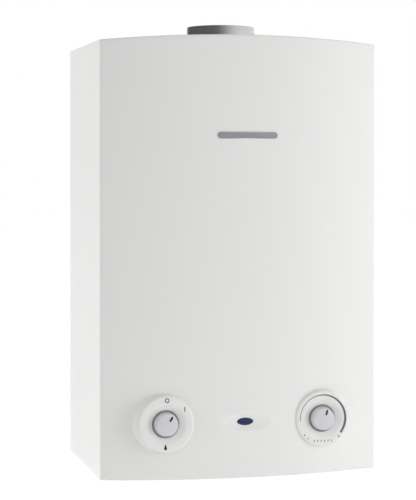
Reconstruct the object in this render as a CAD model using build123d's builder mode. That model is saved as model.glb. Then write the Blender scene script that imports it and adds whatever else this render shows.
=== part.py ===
from build123d import *
import os
from math import cos, radians, sin, sqrt

os.makedirs("parts", exist_ok=True)

# A wall-hung gas boiler, in millimetres. +X is to the right of someone who faces it,
# -Y points into the room and +Z is up. The origin is the centre of the wall plate's
# four fixing holes, on the wall.

# Case
case_width = 390.0
case_side_depth = 240.0
case_bow = 30.0
case_side_height = 592.0
case_crown = 8.0
case_wall = 1.2
case_corner_radius = 3.0
case_rear_gap = 1.0
case_bottom_lip = 14.0
case_tab_width = 28.0
case_top_strip = 25.0
case_top_front = 45.0

# Wall plate and the hook that hangs on it
plate_centre_height = 530.0
plate_width = 300.0
plate_height = 60.0
plate_steel = 2.0
plate_hole_radius = 4.0
plate_hole_pitch_x = 240.0
plate_hole_pitch_z = 36.0
ledge_depth = 10.0
ledge_lip = 14.0
hook_steel = 1.5
hook_width = 280.0

# Chassis sheet metal
chassis_steel = 1.5
chassis_rear_gap = 13.0
chassis_flange = 20.0
chassis_inset = 5.0
tray_skirt = 30.0
bottom_skirt = 10.0
bottom_height = 19.5
seat_gap = 0.3
screw_radius = 2.0
screw_head_radius = 3.8
screw_head_height = 2.4
thread_gap = 0.05
slot_gap = 0.45

# Dials on the front
dial_spacing = 220.0
dial_height = 76.2
bezel_face_radius = 37.5
bezel_foot_radius = 44.0
bezel_drop = 19.0
bezel_setback = 1.5
bezel_wall = 2.5
bezel_round = 3.0
bezel_collar_radius = 30.0
bezel_collar_wall = 2.5
bezel_collar_length = 20.0
bezel_dish = 3.5
bezel_dish_radius = 27.5
bezel_dish_round = 8.0
mark_thickness = 0.2
knob_base_radius = 16.9
knob_tip_radius = 14.8
knob_rise = 12.0
knob_dome = 1.0
knob_rim_height = 1.5
knob_wall = 2.0
knob_flange = 1.5
knob_hub_radius = 5.5
knob_hub_length = 12.0
ring_width = 1.6
ring_rise = 0.8
ring_gap = 0.05
knob_hole_gap = 0.5
spindle_radius = 3.0
pointer_length = 7.0
pointer_width = 2.0
pointer_reach = 13.2
selector_rest_angle = 32.0
temperature_rest_angle = 19.0

# Printed scale marks
off_mark_radius = 32.2
mark_turn = 2.0
off_mark_size = 3.1
on_mark_angle = 50.0
on_mark_length = 6.5
stroke = 1.0
scale_radius = 32.4
scale_start_angle = -94.0
scale_end_angle = 128.0
scale_start_width = 0.7
scale_end_width = 3.0

# Lamp
scoop_length = 82.0
scoop_height = 25.0
scoop_depth = 4.0
lens_width = 23.4
lens_height = 10.6
lens_proud = 1.8
lens_round = 1.1
lens_gap = 0.3
lens_flange = 2.5
lens_flange_thickness = 1.5
guide_radius = 3.0
led_radius = 2.5
led_length = 8.0
led_round = 2.2

# Blank badge
badge_width = 84.0
badge_height = 9.0
badge_thickness = 1.0
badge_end_radius = 4.05
badge_gap = 0.1
badge_centre_x = 3.0
badge_centre_height = 464.0

# Control box
box_side_gap = 20.3
box_bottom = 32.0
box_height = 88.0
box_front_gap = 32.0
box_depth = 62.0
box_wall = 2.2
cover_thickness = 2.0
board_thickness = 1.6
board_margin = 14.0
pillar_inset_x = 21.0
pillar_inset_z = 9.8
board_setback = 12.0
pot_radius = 12.0
switch_side = 26.0
bushing_radius = 4.5
bushing_length = 7.0
bracket_foot = 15.0
bracket_height = 40.0
bracket_depth = 24.0

# Heat exchanger, burner and fan
exchanger_half_width = 92.0
exchanger_rear = 57.0
exchanger_depth = 123.0
exchanger_bottom = 175.0
exchanger_top = 440.0
exchanger_wall = 16.0
exchanger_rim = 6.0
rim_thickness = 8.0
fin_count = 7
fin_thickness = 6.0
fin_clearance = 19.0
rib_count = 6
rib_width = 6.0
rib_depth = 4.0
gasket_thickness = 1.0
door_thickness = 6.0
plenum_height = 8.0
burner_radius = 24.0
burner_length = 150.0
burner_drop = 33.0
burner_wall = 1.5
burner_slots = 20
fan_x = 112.0
fan_depth = 150.0
fan_radius = 62.0
fan_body = 48.0
fan_wall = 2.5
fan_gap = 3.0
nozzle_width = 38.0
nozzle_depth = 36.0
inlet_radius = 20.0
impeller_radius = 50.0
impeller_hub_radius = 12.0
impeller_disc = 3.0
impeller_width = 34.0
blade_count = 12
blade_thickness = 1.6
motor_radius = 42.0
motor_length = 44.0
shaft_radius = 4.0
running_gap = 0.05
press_gap = 0.05
mixer_radius = 24.0
mixer_length = 38.0
mixer_throat = 13.0
stub_radius = 9.0

# Pipes, gas train and condensate
pipe_depth = 34.0
pipe_radius = 11.0
pipe_wall = 0.9
pipe_tail = 28.0
bead_height = 2.0
bead_rise = 1.2
pipe_hole_gap = 2.0
flow_x = -70.0
return_x = 70.0
gas_x = 140.0
boss_width = 32.0
boss_height = 30.0
nut_radius = 17.0
nut_length = 14.0
return_boss_bottom = 196.0
flow_boss_bottom = 390.0
cock_bottom = 50.0
cock_length = 40.0
cock_radius = 15.0
cock_spindle_radius = 4.0
lever_length = 45.0
lever_width = 12.0
lever_thickness = 3.0
valve_bottom = 230.0
valve_height = 100.0
valve_width = 60.0
valve_depth = 64.0
valve_y = -117.0
coil_radius = 13.0
coil_length = 28.0
feed_radius = 7.0
sump_bottom = 125.0
sump_wall = 3.0
drain_x = -140.0
trap_y = -100.0
trap_radius = 26.0
trap_bottom = 45.0
trap_height = 73.0
trap_outlet_height = 95.0
drain_radius = 10.75

# Flue
flue_y = -135.0
flue_spigot_radius = 30.0
flue_wall = 1.5
flue_rim_height = 620.0
collar_radius = 47.8
collar_wall = 1.5
turret_flange_radius = 58.0
turret_flange = 3.0
pad_radius = 62.0
pad_rise = 2.0
spigot_length = 43.0
duct_y = -80.0
duct_wall = 2.0
bell_length = 12.0
bell_gap = 0.3
seal_thickness = 1.5
flue_screw_radius = 1.75
flue_screw_pitch_radius = 53.0
flue_screw_count = 4

# Values worked out from the driving dimensions
case_depth = case_side_depth + case_bow
half_width = case_width / 2
box_half_width = half_width - case_wall - chassis_steel - box_side_gap
box_front_depth = case_depth - box_front_gap
box_rear_depth = box_front_depth - box_depth
bow_radius = (half_width ** 2 + case_bow ** 2) / (2 * case_bow)
crown_radius = (half_width ** 2 + case_crown ** 2) / (2 * case_crown)


def up(height):
    """Z of a height above the case's bottom edge."""
    return height - plate_centre_height


top_z = up(case_side_height + case_crown)
dial_z = up(dial_height)
dial_x = dial_spacing / 2
face_y = bezel_setback - case_depth
seat_y = face_y + bezel_dish
back_y = -chassis_rear_gap - chassis_steel
bottom_z = up(bottom_height)


def front_y(x, inset=0.0):
    """Y of the bowed front at x, set back from the outside by inset."""
    return bow_radius - case_depth - sqrt((bow_radius - inset) ** 2 - x ** 2)


def crown_z(x, drop=0.0):
    """Z of the arched top at x, lowered from the outside by drop."""
    return top_z - crown_radius + sqrt((crown_radius - drop) ** 2 - x ** 2)


def bowed_plan(z, inset, rear_y):
    """Plan of the case at height z: a straight rear, straight sides and a bowed front."""
    half = half_width - inset
    corner = front_y(half, inset)
    with BuildSketch(Plane.XY.offset(z)) as plan:
        with BuildLine():
            Polyline((-half, corner), (-half, rear_y), (half, rear_y), (half, corner))
            ThreePointArc((half, corner), (0, front_y(0, inset)), (-half, corner))
        make_face()
    return plan.sketch


def below_crown(z_low, drop):
    """Front elevation of all that lies under the arched top."""
    edge = crown_z(half_width, drop)
    with BuildSketch(Plane.XZ) as elevation:
        with BuildLine():
            Polyline((-half_width, edge), (-half_width, z_low), (half_width, z_low), (half_width, edge))
            ThreePointArc((half_width, edge), (0, crown_z(0, drop)), (-half_width, edge))
        make_face()
    return elevation.sketch


def bowed_block(z_low, inset, drop, rear_y, corner_radius=0.0):
    """Solid with the case's plan and arched top, taken in by inset and drop."""
    with BuildPart() as block:
        extrude(bowed_plan(z_low, inset, rear_y), amount=top_z - z_low)
        if corner_radius > 0:
            fillet(block.edges().filter_by(Axis.Z).group_by(Axis.Y)[0], radius=corner_radius)
        extrude(below_crown(z_low, drop), amount=case_depth, both=True, mode=Mode.INTERSECT)
    return block.part


def scoop_barrel(extra):
    """Barrel whose inner side is the lamp scoop, grown outwards by extra."""
    half_length = scoop_length / 2 + case_wall * 4
    long_radius = ((scoop_length / 2) ** 2 + scoop_depth ** 2) / (2 * scoop_depth)
    short_radius = ((scoop_height / 2) ** 2 + scoop_depth ** 2) / (2 * scoop_depth)
    deepest = scoop_depth - case_depth
    axis_y = deepest - short_radius
    side = deepest - long_radius + sqrt((long_radius + extra) ** 2 - half_length ** 2)
    with BuildPart() as barrel:
        with BuildSketch(Plane.XY.offset(dial_z)):
            with BuildLine():
                left, right = (-half_length, side), (half_length, side)
                Polyline(left, (-half_length, axis_y), (half_length, axis_y), right)
                ThreePointArc(right, (0, deepest + extra), left)
            make_face()
        revolve(axis=Axis((0, axis_y, dial_z), (1, 0, 0)))
    return barrel.part


def facing(depth):
    """Plane that faces the room, at a depth in front of the wall; its X is +X and its Y is +Z."""
    return Plane.XZ.offset(depth)


def level(height):
    """Horizontal plane at a height above the case's bottom edge."""
    return Plane.XY.offset(up(height))


def upright_at(point):
    """Plane through a point, square to a path that starts upwards."""
    return Plane(origin=point, z_dir=(0, 0, 1))


def tube(path, radius, wall, start_plane):
    """Round tube along a path, made inside the part that calls it."""
    with BuildSketch(start_plane) as section:
        Circle(radius)
        Circle(radius - wall, mode=Mode.SUBTRACT)
    sweep(section.sketch, path=path)


def rod_path(points, bend):
    """Path of straight runs joined by tangent arcs, with one radius or one for each corner."""
    with BuildLine() as line:
        FilletPolyline(*points, radius=bend)
    return line.line


def flue_circles(radius, mode=Mode.ADD):
    """Circles at the flue screws, in the sketch that calls it."""
    first = 180.0 / flue_screw_count
    with Locations((0, flue_y)):
        with PolarLocations(flue_screw_pitch_radius, flue_screw_count, start_angle=first):
            Circle(radius, mode=mode)


def flue_holes(radius):
    """Holes for the flue screws, in the sketch that calls it."""
    flue_circles(radius, Mode.SUBTRACT)


def save(builder, name):
    """Label a finished piece and write it as its own file."""
    builder.part.label = name
    export_step(builder.part, "parts/" + name + ".step")


# Wall plate: flat steel against the wall with a ledge and an upright lip along its top
with BuildPart() as wall_plate:
    plate_top = plate_height / 2
    lip_rear = -ledge_depth + plate_steel
    with BuildSketch(Plane.YZ.offset(-plate_width / 2)):
        with BuildLine():
            Polyline(
                (0, -plate_top),
                (0, plate_top),
                (lip_rear, plate_top),
                (lip_rear, plate_top + ledge_lip),
                (-ledge_depth, plate_top + ledge_lip),
                (-ledge_depth, plate_top - plate_steel),
                (-plate_steel, plate_top - plate_steel),
                (-plate_steel, -plate_top),
                close=True,
            )
        make_face()
    extrude(amount=plate_width)
    with BuildSketch(facing(0)):
        with GridLocations(plate_hole_pitch_x, plate_hole_pitch_z, 2, 2):
            Circle(plate_hole_radius)
    extrude(amount=plate_steel, mode=Mode.SUBTRACT)
save(wall_plate, "wall_plate")

# Hanging bracket: folded hook on the chassis that drops over the plate's lip
with BuildPart() as hanging_bracket:
    hook_top = plate_height / 2 + ledge_lip + hook_steel
    hook_front = -chassis_rear_gap
    hook_rear = hook_steel - ledge_depth + plate_steel + hook_steel
    with BuildSketch(Plane.YZ.offset(-hook_width / 2)):
        with BuildLine():
            Polyline(
                (hook_front, plate_height / 2 - chassis_flange),
                (hook_front, hook_top),
                (hook_rear, hook_top),
                (hook_rear, hook_top - ledge_lip),
                (hook_rear - hook_steel, hook_top - ledge_lip),
                (hook_rear - hook_steel, hook_top - hook_steel),
                (hook_front + hook_steel, hook_top - hook_steel),
                (hook_front + hook_steel, plate_height / 2 - chassis_flange),
                close=True,
            )
        make_face()
    extrude(amount=hook_width)
save(hanging_bracket, "hanging_bracket")

# Chassis back: flat sheet with flanges turned forwards along both sides
with BuildPart() as chassis_back:
    back_half = half_width - chassis_inset
    back_bottom = up(bottom_height) - bottom_skirt
    back_top = crown_z(half_width, case_wall) - chassis_steel
    with BuildSketch(Plane.XY.offset(back_bottom)):
        with BuildLine():
            Polyline(
                (-back_half, back_y - chassis_flange),
                (-back_half, -chassis_rear_gap),
                (back_half, -chassis_rear_gap),
                (back_half, back_y - chassis_flange),
                (back_half - chassis_steel, back_y - chassis_flange),
                (back_half - chassis_steel, back_y),
                (chassis_steel - back_half, back_y),
                (chassis_steel - back_half, back_y - chassis_flange),
                close=True,
            )
        make_face()
    extrude(amount=back_top - back_bottom)
save(chassis_back, "chassis_back")

# Chassis top: arched tray turned upside down, with a raised pad for the flue
tray_inset = chassis_inset + chassis_steel + seat_gap
tray_drop = case_wall + seat_gap
pad_top = top_z + pad_rise
tray_low = top_z - case_crown - tray_skirt
tray_outside = bowed_block(tray_low, tray_inset, tray_drop, back_y)
tray_inside = bowed_block(
    tray_low, tray_inset + chassis_steel, tray_drop + chassis_steel, back_y - chassis_steel
)
with BuildPart() as chassis_top:
    add(tray_outside)
    with BuildSketch(Plane.XY.offset(pad_top)):
        with Locations((0, flue_y)):
            Circle(pad_radius)
    extrude(amount=-tray_skirt)
    add(tray_inside, mode=Mode.SUBTRACT)
    with BuildSketch(Plane.XY.offset(pad_top - chassis_steel)):
        with Locations((0, flue_y)):
            Circle(pad_radius - chassis_steel)
    extrude(amount=-tray_skirt, mode=Mode.SUBTRACT)
    with BuildSketch(Plane.XY.offset(pad_top)):
        with Locations((0, flue_y)):
            Circle(collar_radius + seat_gap)
        flue_circles(flue_screw_radius + thread_gap)
    extrude(amount=-tray_skirt, mode=Mode.SUBTRACT)
save(chassis_top, "chassis_top")

# Chassis bottom: shallow tray turned upside down, with a clear hole for each pipe
gland_x = 25.0
gland_depth = 60.0
gland_radius = 10.0
with BuildPart() as chassis_bottom:
    floor_inset = chassis_inset + chassis_steel + seat_gap
    low_z = bottom_z - bottom_skirt
    extrude(bowed_plan(low_z, floor_inset, back_y), amount=bottom_skirt)
    extrude(
        bowed_plan(low_z, floor_inset + chassis_steel, back_y - chassis_steel),
        amount=bottom_skirt - chassis_steel,
        mode=Mode.SUBTRACT,
    )
    with BuildSketch(Plane.XY.offset(bottom_z)):
        with Locations((flow_x, -pipe_depth), (return_x, -pipe_depth), (gas_x, -pipe_depth)):
            Circle(pipe_radius + pipe_hole_gap)
        with Locations((drain_x, -pipe_depth)):
            Circle(drain_radius + pipe_hole_gap)
        with Locations((gland_x, -gland_depth)):
            Circle(gland_radius)
    extrude(amount=-bottom_skirt, mode=Mode.SUBTRACT)
save(chassis_bottom, "chassis_bottom")

# Wall spacers: rubber feet that keep the lower chassis off the wall
with BuildPart() as wall_spacers:
    spacer_radius = 10.0
    spacer_pitch = 300.0
    spacer_height = 60.0
    with BuildSketch(facing(0)):
        with Locations((-spacer_pitch / 2, up(spacer_height)), (spacer_pitch / 2, up(spacer_height))):
            Circle(spacer_radius)
    extrude(amount=chassis_rear_gap)
save(wall_spacers, "wall_spacers")

# Outer case: one folded shell, open to the wall, with a scoop, two dial holes and a lamp hole
catch_x = 150.0
catch_setback = 18.0
catch_y = catch_setback - case_side_depth
slot_radius = screw_radius + slot_gap
case_outside = bowed_block(up(0), 0, 0, -case_rear_gap, case_corner_radius)
with BuildPart() as case_hollow:
    add(bowed_block(up(case_wall), case_wall, case_wall, case_wall, case_corner_radius - case_wall))
    add(scoop_barrel(case_wall), mode=Mode.SUBTRACT)
with BuildPart() as outer_case:
    add(case_outside)
    add(scoop_barrel(0), mode=Mode.SUBTRACT)
    add(case_hollow.part, mode=Mode.SUBTRACT)
    tab_rear = catch_y + case_tab_width / 2
    with BuildSketch(Plane.XY.offset(up(0))):
        add(bowed_plan(0, case_bottom_lip, case_wall))
        with Locations((-catch_x, tab_rear), (catch_x, tab_rear)):
            Rectangle(case_tab_width, case_depth, align=(Align.CENTER, Align.MAX), mode=Mode.SUBTRACT)
        with Locations((-catch_x, catch_y), (catch_x, catch_y)):
            Circle(slot_radius)
            Rectangle(slot_radius * 2, case_tab_width, align=(Align.CENTER, Align.MIN))
    extrude(amount=case_wall, mode=Mode.SUBTRACT)
    with BuildSketch(Plane.XY.offset(top_z - tray_skirt)):
        with Locations((0, case_top_front - case_depth)):
            Rectangle(
                case_width - case_top_strip * 2, case_depth, align=(Align.CENTER, Align.MIN)
            )
    extrude(amount=tray_skirt, mode=Mode.SUBTRACT)
    with BuildSketch(facing(case_side_depth)):
        with Locations((-dial_x, dial_z), (dial_x, dial_z)):
            Circle(bezel_collar_radius + seat_gap)
        with Locations((0, dial_z)):
            Ellipse(lens_width / 2 + lens_gap, lens_height / 2 + lens_gap)
    extrude(amount=case_bow * 2, mode=Mode.SUBTRACT)
save(outer_case, "outer_case")

# Case catches: brackets under the chassis that the case is screwed to from below
catch_foot = 22.0
with BuildPart() as case_catches:
    catch_front = catch_y - catch_foot / 2
    catch_rear = catch_y + catch_foot / 2
    catch_low = up(case_wall + seat_gap)
    catch_high = bottom_z - chassis_steel
    for side in (-catch_x, catch_x):
        with BuildSketch(Plane.YZ.offset(side - catch_foot / 2)):
            with BuildLine():
                Polyline(
                    (catch_front, catch_low),
                    (catch_rear, catch_low),
                    (catch_rear, catch_high - chassis_steel),
                    (catch_rear + catch_foot / 2, catch_high - chassis_steel),
                    (catch_rear + catch_foot / 2, catch_high),
                    (catch_rear - chassis_steel, catch_high),
                    (catch_rear - chassis_steel, catch_low + chassis_steel),
                    (catch_front, catch_low + chassis_steel),
                    close=True,
                )
            make_face()
        extrude(amount=catch_foot)
        with BuildSketch(Plane.XY.offset(catch_low)):
            with Locations((side, catch_y)):
                Circle(screw_radius + thread_gap)
        extrude(amount=chassis_steel, mode=Mode.SUBTRACT)
save(case_catches, "case_catches")

# Case screws: two pan heads under the case, each in a slot that is open to the rear
case_screw_length = 9.0
with BuildPart() as case_screws:
    head_top = up(0) - seat_gap
    with BuildSketch(Plane.XY.offset(head_top)):
        with Locations((-catch_x, catch_y), (catch_x, catch_y)):
            Circle(screw_head_radius)
    extrude(amount=-screw_head_height)
    fillet(case_screws.faces().group_by(Axis.Z)[0].edges(), radius=screw_head_height / 2)
    with BuildSketch(Plane.XY.offset(head_top)):
        with Locations((-catch_x, catch_y), (catch_x, catch_y)):
            Circle(screw_radius)
    extrude(amount=case_screw_length)
    with BuildSketch(Plane.XY.offset(head_top - screw_head_height)):
        with Locations((-catch_x, catch_y), (catch_x, catch_y)):
            Rectangle(screw_head_radius, stroke)
            Rectangle(stroke, screw_head_radius)
    extrude(amount=screw_head_height / 2, mode=Mode.SUBTRACT)
save(case_screws, "case_screws")


def dial_bezel(centre_x):
    """Moulded dial surround: a face parallel to the wall, standing off the bowed panel."""
    face = face_y
    foot = face + bezel_drop
    axis = Axis((centre_x, 0, dial_z), (0, 1, 0))
    hole = knob_base_radius + ring_gap + ring_width + knob_hole_gap
    inner_face = bezel_face_radius - bezel_wall
    inner_foot = bezel_foot_radius - bezel_wall
    collar_in = bezel_collar_radius - bezel_collar_wall
    with BuildPart() as bezel:
        with BuildSketch(Plane.XY.offset(dial_z)):
            with BuildLine():
                FilletPolyline(
                    (centre_x + hole, face + bezel_dish),
                    (centre_x + bezel_dish_radius, face),
                    (centre_x + bezel_face_radius, face),
                    (centre_x + bezel_foot_radius, foot),
                    radius=(bezel_dish_round, bezel_round),
                )
                Polyline(
                    (centre_x + bezel_foot_radius, foot),
                    (centre_x + inner_foot, foot),
                    (centre_x + inner_face, face + bezel_wall),
                    (centre_x + bezel_dish_radius, face + bezel_wall),
                    (centre_x + hole, face + bezel_dish + bezel_wall),
                    (centre_x + hole, face + bezel_dish),
                )
            make_face()
        revolve(axis=axis)
        add(case_outside, mode=Mode.SUBTRACT)
        with BuildSketch(facing(-face - bezel_wall)):
            with Locations((centre_x, dial_z)):
                Circle(bezel_collar_radius)
                Circle(collar_in, mode=Mode.SUBTRACT)
        extrude(amount=-bezel_collar_length)
    return bezel


selector_bezel = dial_bezel(-dial_x)
save(selector_bezel, "selector_bezel")
temperature_bezel = dial_bezel(dial_x)
save(temperature_bezel, "temperature_bezel")


def on_dial(centre_x, radius, angle):
    """X and Z of a point on a dial, its angle clockwise from twelve o'clock."""
    return (centre_x + radius * sin(radians(angle)), dial_z + radius * cos(radians(angle)))


# Dial marks, printed: off, on and reset by the left knob, a temperature band by the right one
drop_angle = 20.0
drop_radius = 2.0
drop_height = 6.2
tick_count = 6
tick_pitch = 5.0
tick_length = 2.5
tick_drop = 30.5
number_reach = 34.0
first_dot_angle = -130.0
first_number_angle = -142.0
last_number_angle = 137.0
digit_height = 3.6
digit_radius = 1.2
digit_stroke = 0.6
digit_lean = -15.0
with BuildPart() as dial_marks:
    with BuildSketch(facing(-face_y)):
        with Locations(on_dial(-dial_x, off_mark_radius, mark_turn)):
            Circle(off_mark_size)
            Circle(off_mark_size - stroke, mode=Mode.SUBTRACT)
        with Locations(on_dial(-dial_x, off_mark_radius, on_mark_angle + mark_turn)):
            Rectangle(stroke, on_mark_length)
        drop_x, drop_z = on_dial(-dial_x, off_mark_radius, mark_turn + 180)
        drop_side = drop_radius * cos(radians(drop_angle))
        drop_shoulder = drop_z + drop_radius * sin(radians(drop_angle))
        with Locations((drop_x, drop_z)):
            Circle(drop_radius)
        with BuildLine():
            Polyline(
                (drop_x - drop_side, drop_shoulder),
                (drop_x, drop_z + drop_height),
                (drop_x + drop_side, drop_shoulder),
                close=True,
            )
        make_face()
    extrude(amount=mark_thickness)
    with BuildSketch(facing(-face_y)):
        start_half = scale_start_width / 2
        end_half = scale_end_width / 2
        middle_half = (start_half + end_half) / 2
        middle_angle = (scale_start_angle + scale_end_angle) / 2
        with BuildLine():
            outer = ThreePointArc(
                on_dial(dial_x, scale_radius + start_half, scale_start_angle),
                on_dial(dial_x, scale_radius + middle_half, middle_angle),
                on_dial(dial_x, scale_radius + end_half, scale_end_angle),
            )
            inner = ThreePointArc(
                on_dial(dial_x, scale_radius - start_half, scale_start_angle),
                on_dial(dial_x, scale_radius - middle_half, middle_angle),
                on_dial(dial_x, scale_radius - end_half, scale_end_angle),
            )
            Line(outer @ 0, inner @ 0)
            Line(outer @ 1, inner @ 1)
        make_face()
    extrude(amount=mark_thickness)
    with BuildSketch(facing(-face_y)):
        with Locations(on_dial(dial_x, number_reach, first_dot_angle)):
            Circle(stroke)
        with Locations((dial_x, dial_z - tick_drop)):
            with GridLocations(tick_pitch, 0, tick_count, 1):
                Rectangle(stroke, tick_length)
        with Locations(on_dial(dial_x, number_reach, first_number_angle)):
            Rectangle(digit_stroke, digit_height)
        six_x, six_z = on_dial(dial_x, number_reach, last_number_angle)
        with Locations((six_x, six_z - digit_height / 2 + digit_radius)):
            Circle(digit_radius)
            Circle(digit_radius - digit_stroke, mode=Mode.SUBTRACT)
        with Locations(Location((six_x - digit_radius / 2, six_z + digit_radius / 2), digit_lean)):
            Rectangle(digit_stroke, digit_height - digit_radius)
    extrude(amount=mark_thickness)
save(dial_marks, "dial_marks")


def knob(centre_x):
    """Hollow turning knob: tapered skirt, domed face, rear flange and a hub for the spindle."""
    tip = seat_y - knob_rise
    base = seat_y + bezel_wall
    axis = Axis((centre_x, 0, dial_z), (0, 1, 0))
    flange_radius = knob_base_radius + ring_width
    with BuildPart() as body:
        with BuildSketch(Plane.XY.offset(dial_z)):
            with BuildLine():
                ThreePointArc(
                    (centre_x, tip),
                    (centre_x + knob_tip_radius / 2, tip + knob_dome / 4),
                    (centre_x + knob_tip_radius - knob_dome, tip + knob_dome),
                )
                ThreePointArc(
                    (centre_x + knob_tip_radius - knob_dome, tip + knob_dome),
                    (centre_x + knob_tip_radius - knob_dome / 3, tip + knob_dome + knob_rim_height / 3),
                    (centre_x + knob_tip_radius, tip + knob_dome + knob_rim_height),
                )
                Polyline(
                    (centre_x + knob_tip_radius, tip + knob_dome + knob_rim_height),
                    (centre_x + knob_base_radius, seat_y + knob_flange),
                    (centre_x + flange_radius, seat_y + knob_flange),
                    (centre_x + flange_radius, base),
                    (centre_x + knob_base_radius - knob_wall, base),
                    (centre_x + knob_tip_radius - knob_wall, tip + knob_dome + knob_wall),
                    (centre_x + knob_hub_radius, tip + knob_dome + knob_wall),
                    (centre_x + knob_hub_radius, tip + knob_hub_length + knob_wall),
                    (centre_x + spindle_radius + thread_gap, tip + knob_hub_length + knob_wall),
                    (centre_x + spindle_radius + thread_gap, tip + knob_dome + knob_wall),
                    (centre_x, tip + knob_dome + knob_wall),
                    (centre_x, tip),
                )
            make_face()
        revolve(axis=axis)
    return body


def knob_ring(centre_x):
    """Dark trim ring that sits on the knob's rear flange."""
    with BuildPart() as ring:
        with BuildSketch(facing(-seat_y - knob_flange)):
            with Locations((centre_x, dial_z)):
                Circle(knob_base_radius + ring_width)
                Circle(knob_base_radius + ring_gap, mode=Mode.SUBTRACT)
        extrude(amount=knob_flange + ring_rise)
        fillet(ring.edges().group_by(Axis.Y)[0], radius=ring_width / 4)
    return ring


def knob_pointer(centre_x, angle):
    """Dark line let into the knob's face, near its rim."""
    tip = seat_y - knob_rise
    middle = pointer_reach - pointer_length / 2
    with BuildPart() as pointer:
        with BuildSketch(facing(-tip)):
            with Locations(Location(on_dial(centre_x, middle, angle), -angle)):
                SlotOverall(pointer_length, pointer_width, rotation=90)
        extrude(amount=-knob_wall)
    return pointer


for name, centre_x, angle in (
    ("selector", -dial_x, selector_rest_angle),
    ("temperature", dial_x, temperature_rest_angle),
):
    pointer = knob_pointer(centre_x, angle)
    body = knob(centre_x)
    with BuildPart() as knob_body:
        add(body.part)
        add(pointer.part, mode=Mode.SUBTRACT)
    save(knob_body, name + "_knob")
    save(knob_ring(centre_x), name + "_knob_ring")
    save(pointer, name + "_pointer")


def spindle(centre_x):
    """Round shaft from the control box to the knob, with a flat where the knob grips it."""
    near = -seat_y + knob_rise - knob_dome - knob_wall
    far = box_front_depth - board_setback + spindle_radius
    with BuildPart() as shaft:
        with BuildSketch(facing(far)):
            with Locations((centre_x, dial_z)):
                Circle(spindle_radius)
        extrude(amount=near - far)
    return shaft


save(spindle(-dial_x), "selector_spindle")
save(spindle(dial_x), "temperature_spindle")

# Lamp lens: blue oval window with a flange behind the panel
lens_depth = case_depth - scoop_depth
with BuildPart() as lamp_lens:
    with BuildSketch(facing(lens_depth - case_wall - lens_gap * 2)):
        with Locations((0, dial_z)):
            Ellipse(lens_width / 2, lens_height / 2)
    extrude(amount=lens_proud + case_wall + lens_gap * 2)
    fillet(lamp_lens.edges().group_by(Axis.Y)[0], radius=lens_round)
    with BuildSketch(facing(lens_depth - case_wall - lens_gap * 2)):
        with Locations((0, dial_z)):
            Ellipse(lens_width / 2 + lens_flange, lens_height / 2 + lens_flange)
    extrude(amount=-lens_flange_thickness)
save(lamp_lens, "lamp_lens")

# Blank badge: slim bar that follows the bow of the panel
with BuildPart() as blank_badge:
    with BuildSketch(facing(case_side_depth)):
        with Locations((badge_centre_x, up(badge_centre_height))):
            RectangleRounded(badge_width, badge_height, badge_end_radius)
    extrude(amount=case_bow * 2)
    extrude(
        bowed_plan(up(badge_centre_height - badge_height), -badge_gap - badge_thickness, 0),
        amount=badge_height * 2,
        mode=Mode.INTERSECT,
    )
    extrude(
        bowed_plan(up(badge_centre_height - badge_height), -badge_gap, case_wall),
        amount=badge_height * 2,
        mode=Mode.SUBTRACT,
    )
save(blank_badge, "blank_badge")

# Control box housing: moulded tray that opens towards the wall
box_width = box_half_width * 2
box_mid_z = up(box_bottom + box_height / 2)
board_depth = box_front_depth - board_setback
bushing_gap = 0.3
with BuildPart() as control_box:
    with BuildSketch(facing(box_rear_depth)):
        with Locations((0, box_mid_z)):
            RectangleRounded(box_width, box_height, box_wall * 2)
    extrude(amount=box_front_depth - box_rear_depth)
    with BuildSketch(facing(box_rear_depth)):
        with Locations((0, box_mid_z)):
            RectangleRounded(box_width - box_wall * 2, box_height - box_wall * 2, box_wall)
    extrude(amount=box_front_depth - box_rear_depth - box_wall, mode=Mode.SUBTRACT)
    with BuildSketch(facing(box_front_depth - box_wall)):
        with Locations((-dial_x, dial_z), (dial_x, dial_z)):
            Circle(bushing_radius + bushing_gap)
        with Locations((0, dial_z)):
            Circle(guide_radius + seat_gap)
    extrude(amount=box_wall, mode=Mode.SUBTRACT)
    with BuildSketch(facing(board_depth)):
        with Locations((0, box_mid_z)):
            with GridLocations(box_width - pillar_inset_x * 2, box_height - pillar_inset_z * 2, 2, 2):
                Circle(spindle_radius)
    extrude(amount=board_setback - box_wall)
save(control_box, "control_box")

# Control box cover: rear plate with a small hole for each lead
lead_radius = 3.5
lead_height = 106.0
fan_lead_x = 104.0
ignition_lead_x = -104.0
with BuildPart() as control_box_cover:
    with BuildSketch(facing(box_rear_depth)):
        with Locations((0, box_mid_z)):
            RectangleRounded(box_width, box_height, box_wall * 2)
        for lead_x in (fan_lead_x, gas_x, ignition_lead_x):
            with Locations((lead_x, up(lead_height))):
                Circle(lead_radius + seat_gap, mode=Mode.SUBTRACT)
    extrude(amount=-cover_thickness)
save(control_box_cover, "control_box_cover")

# Circuit board on the housing's four pillars
board_width = box_width - board_margin * 2
board_height = box_height - board_margin
with BuildPart() as circuit_board:
    with BuildSketch(facing(board_depth)):
        with Locations((0, box_mid_z)):
            Rectangle(board_width, board_height)
    extrude(amount=-board_thickness)
save(circuit_board, "circuit_board")

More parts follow.
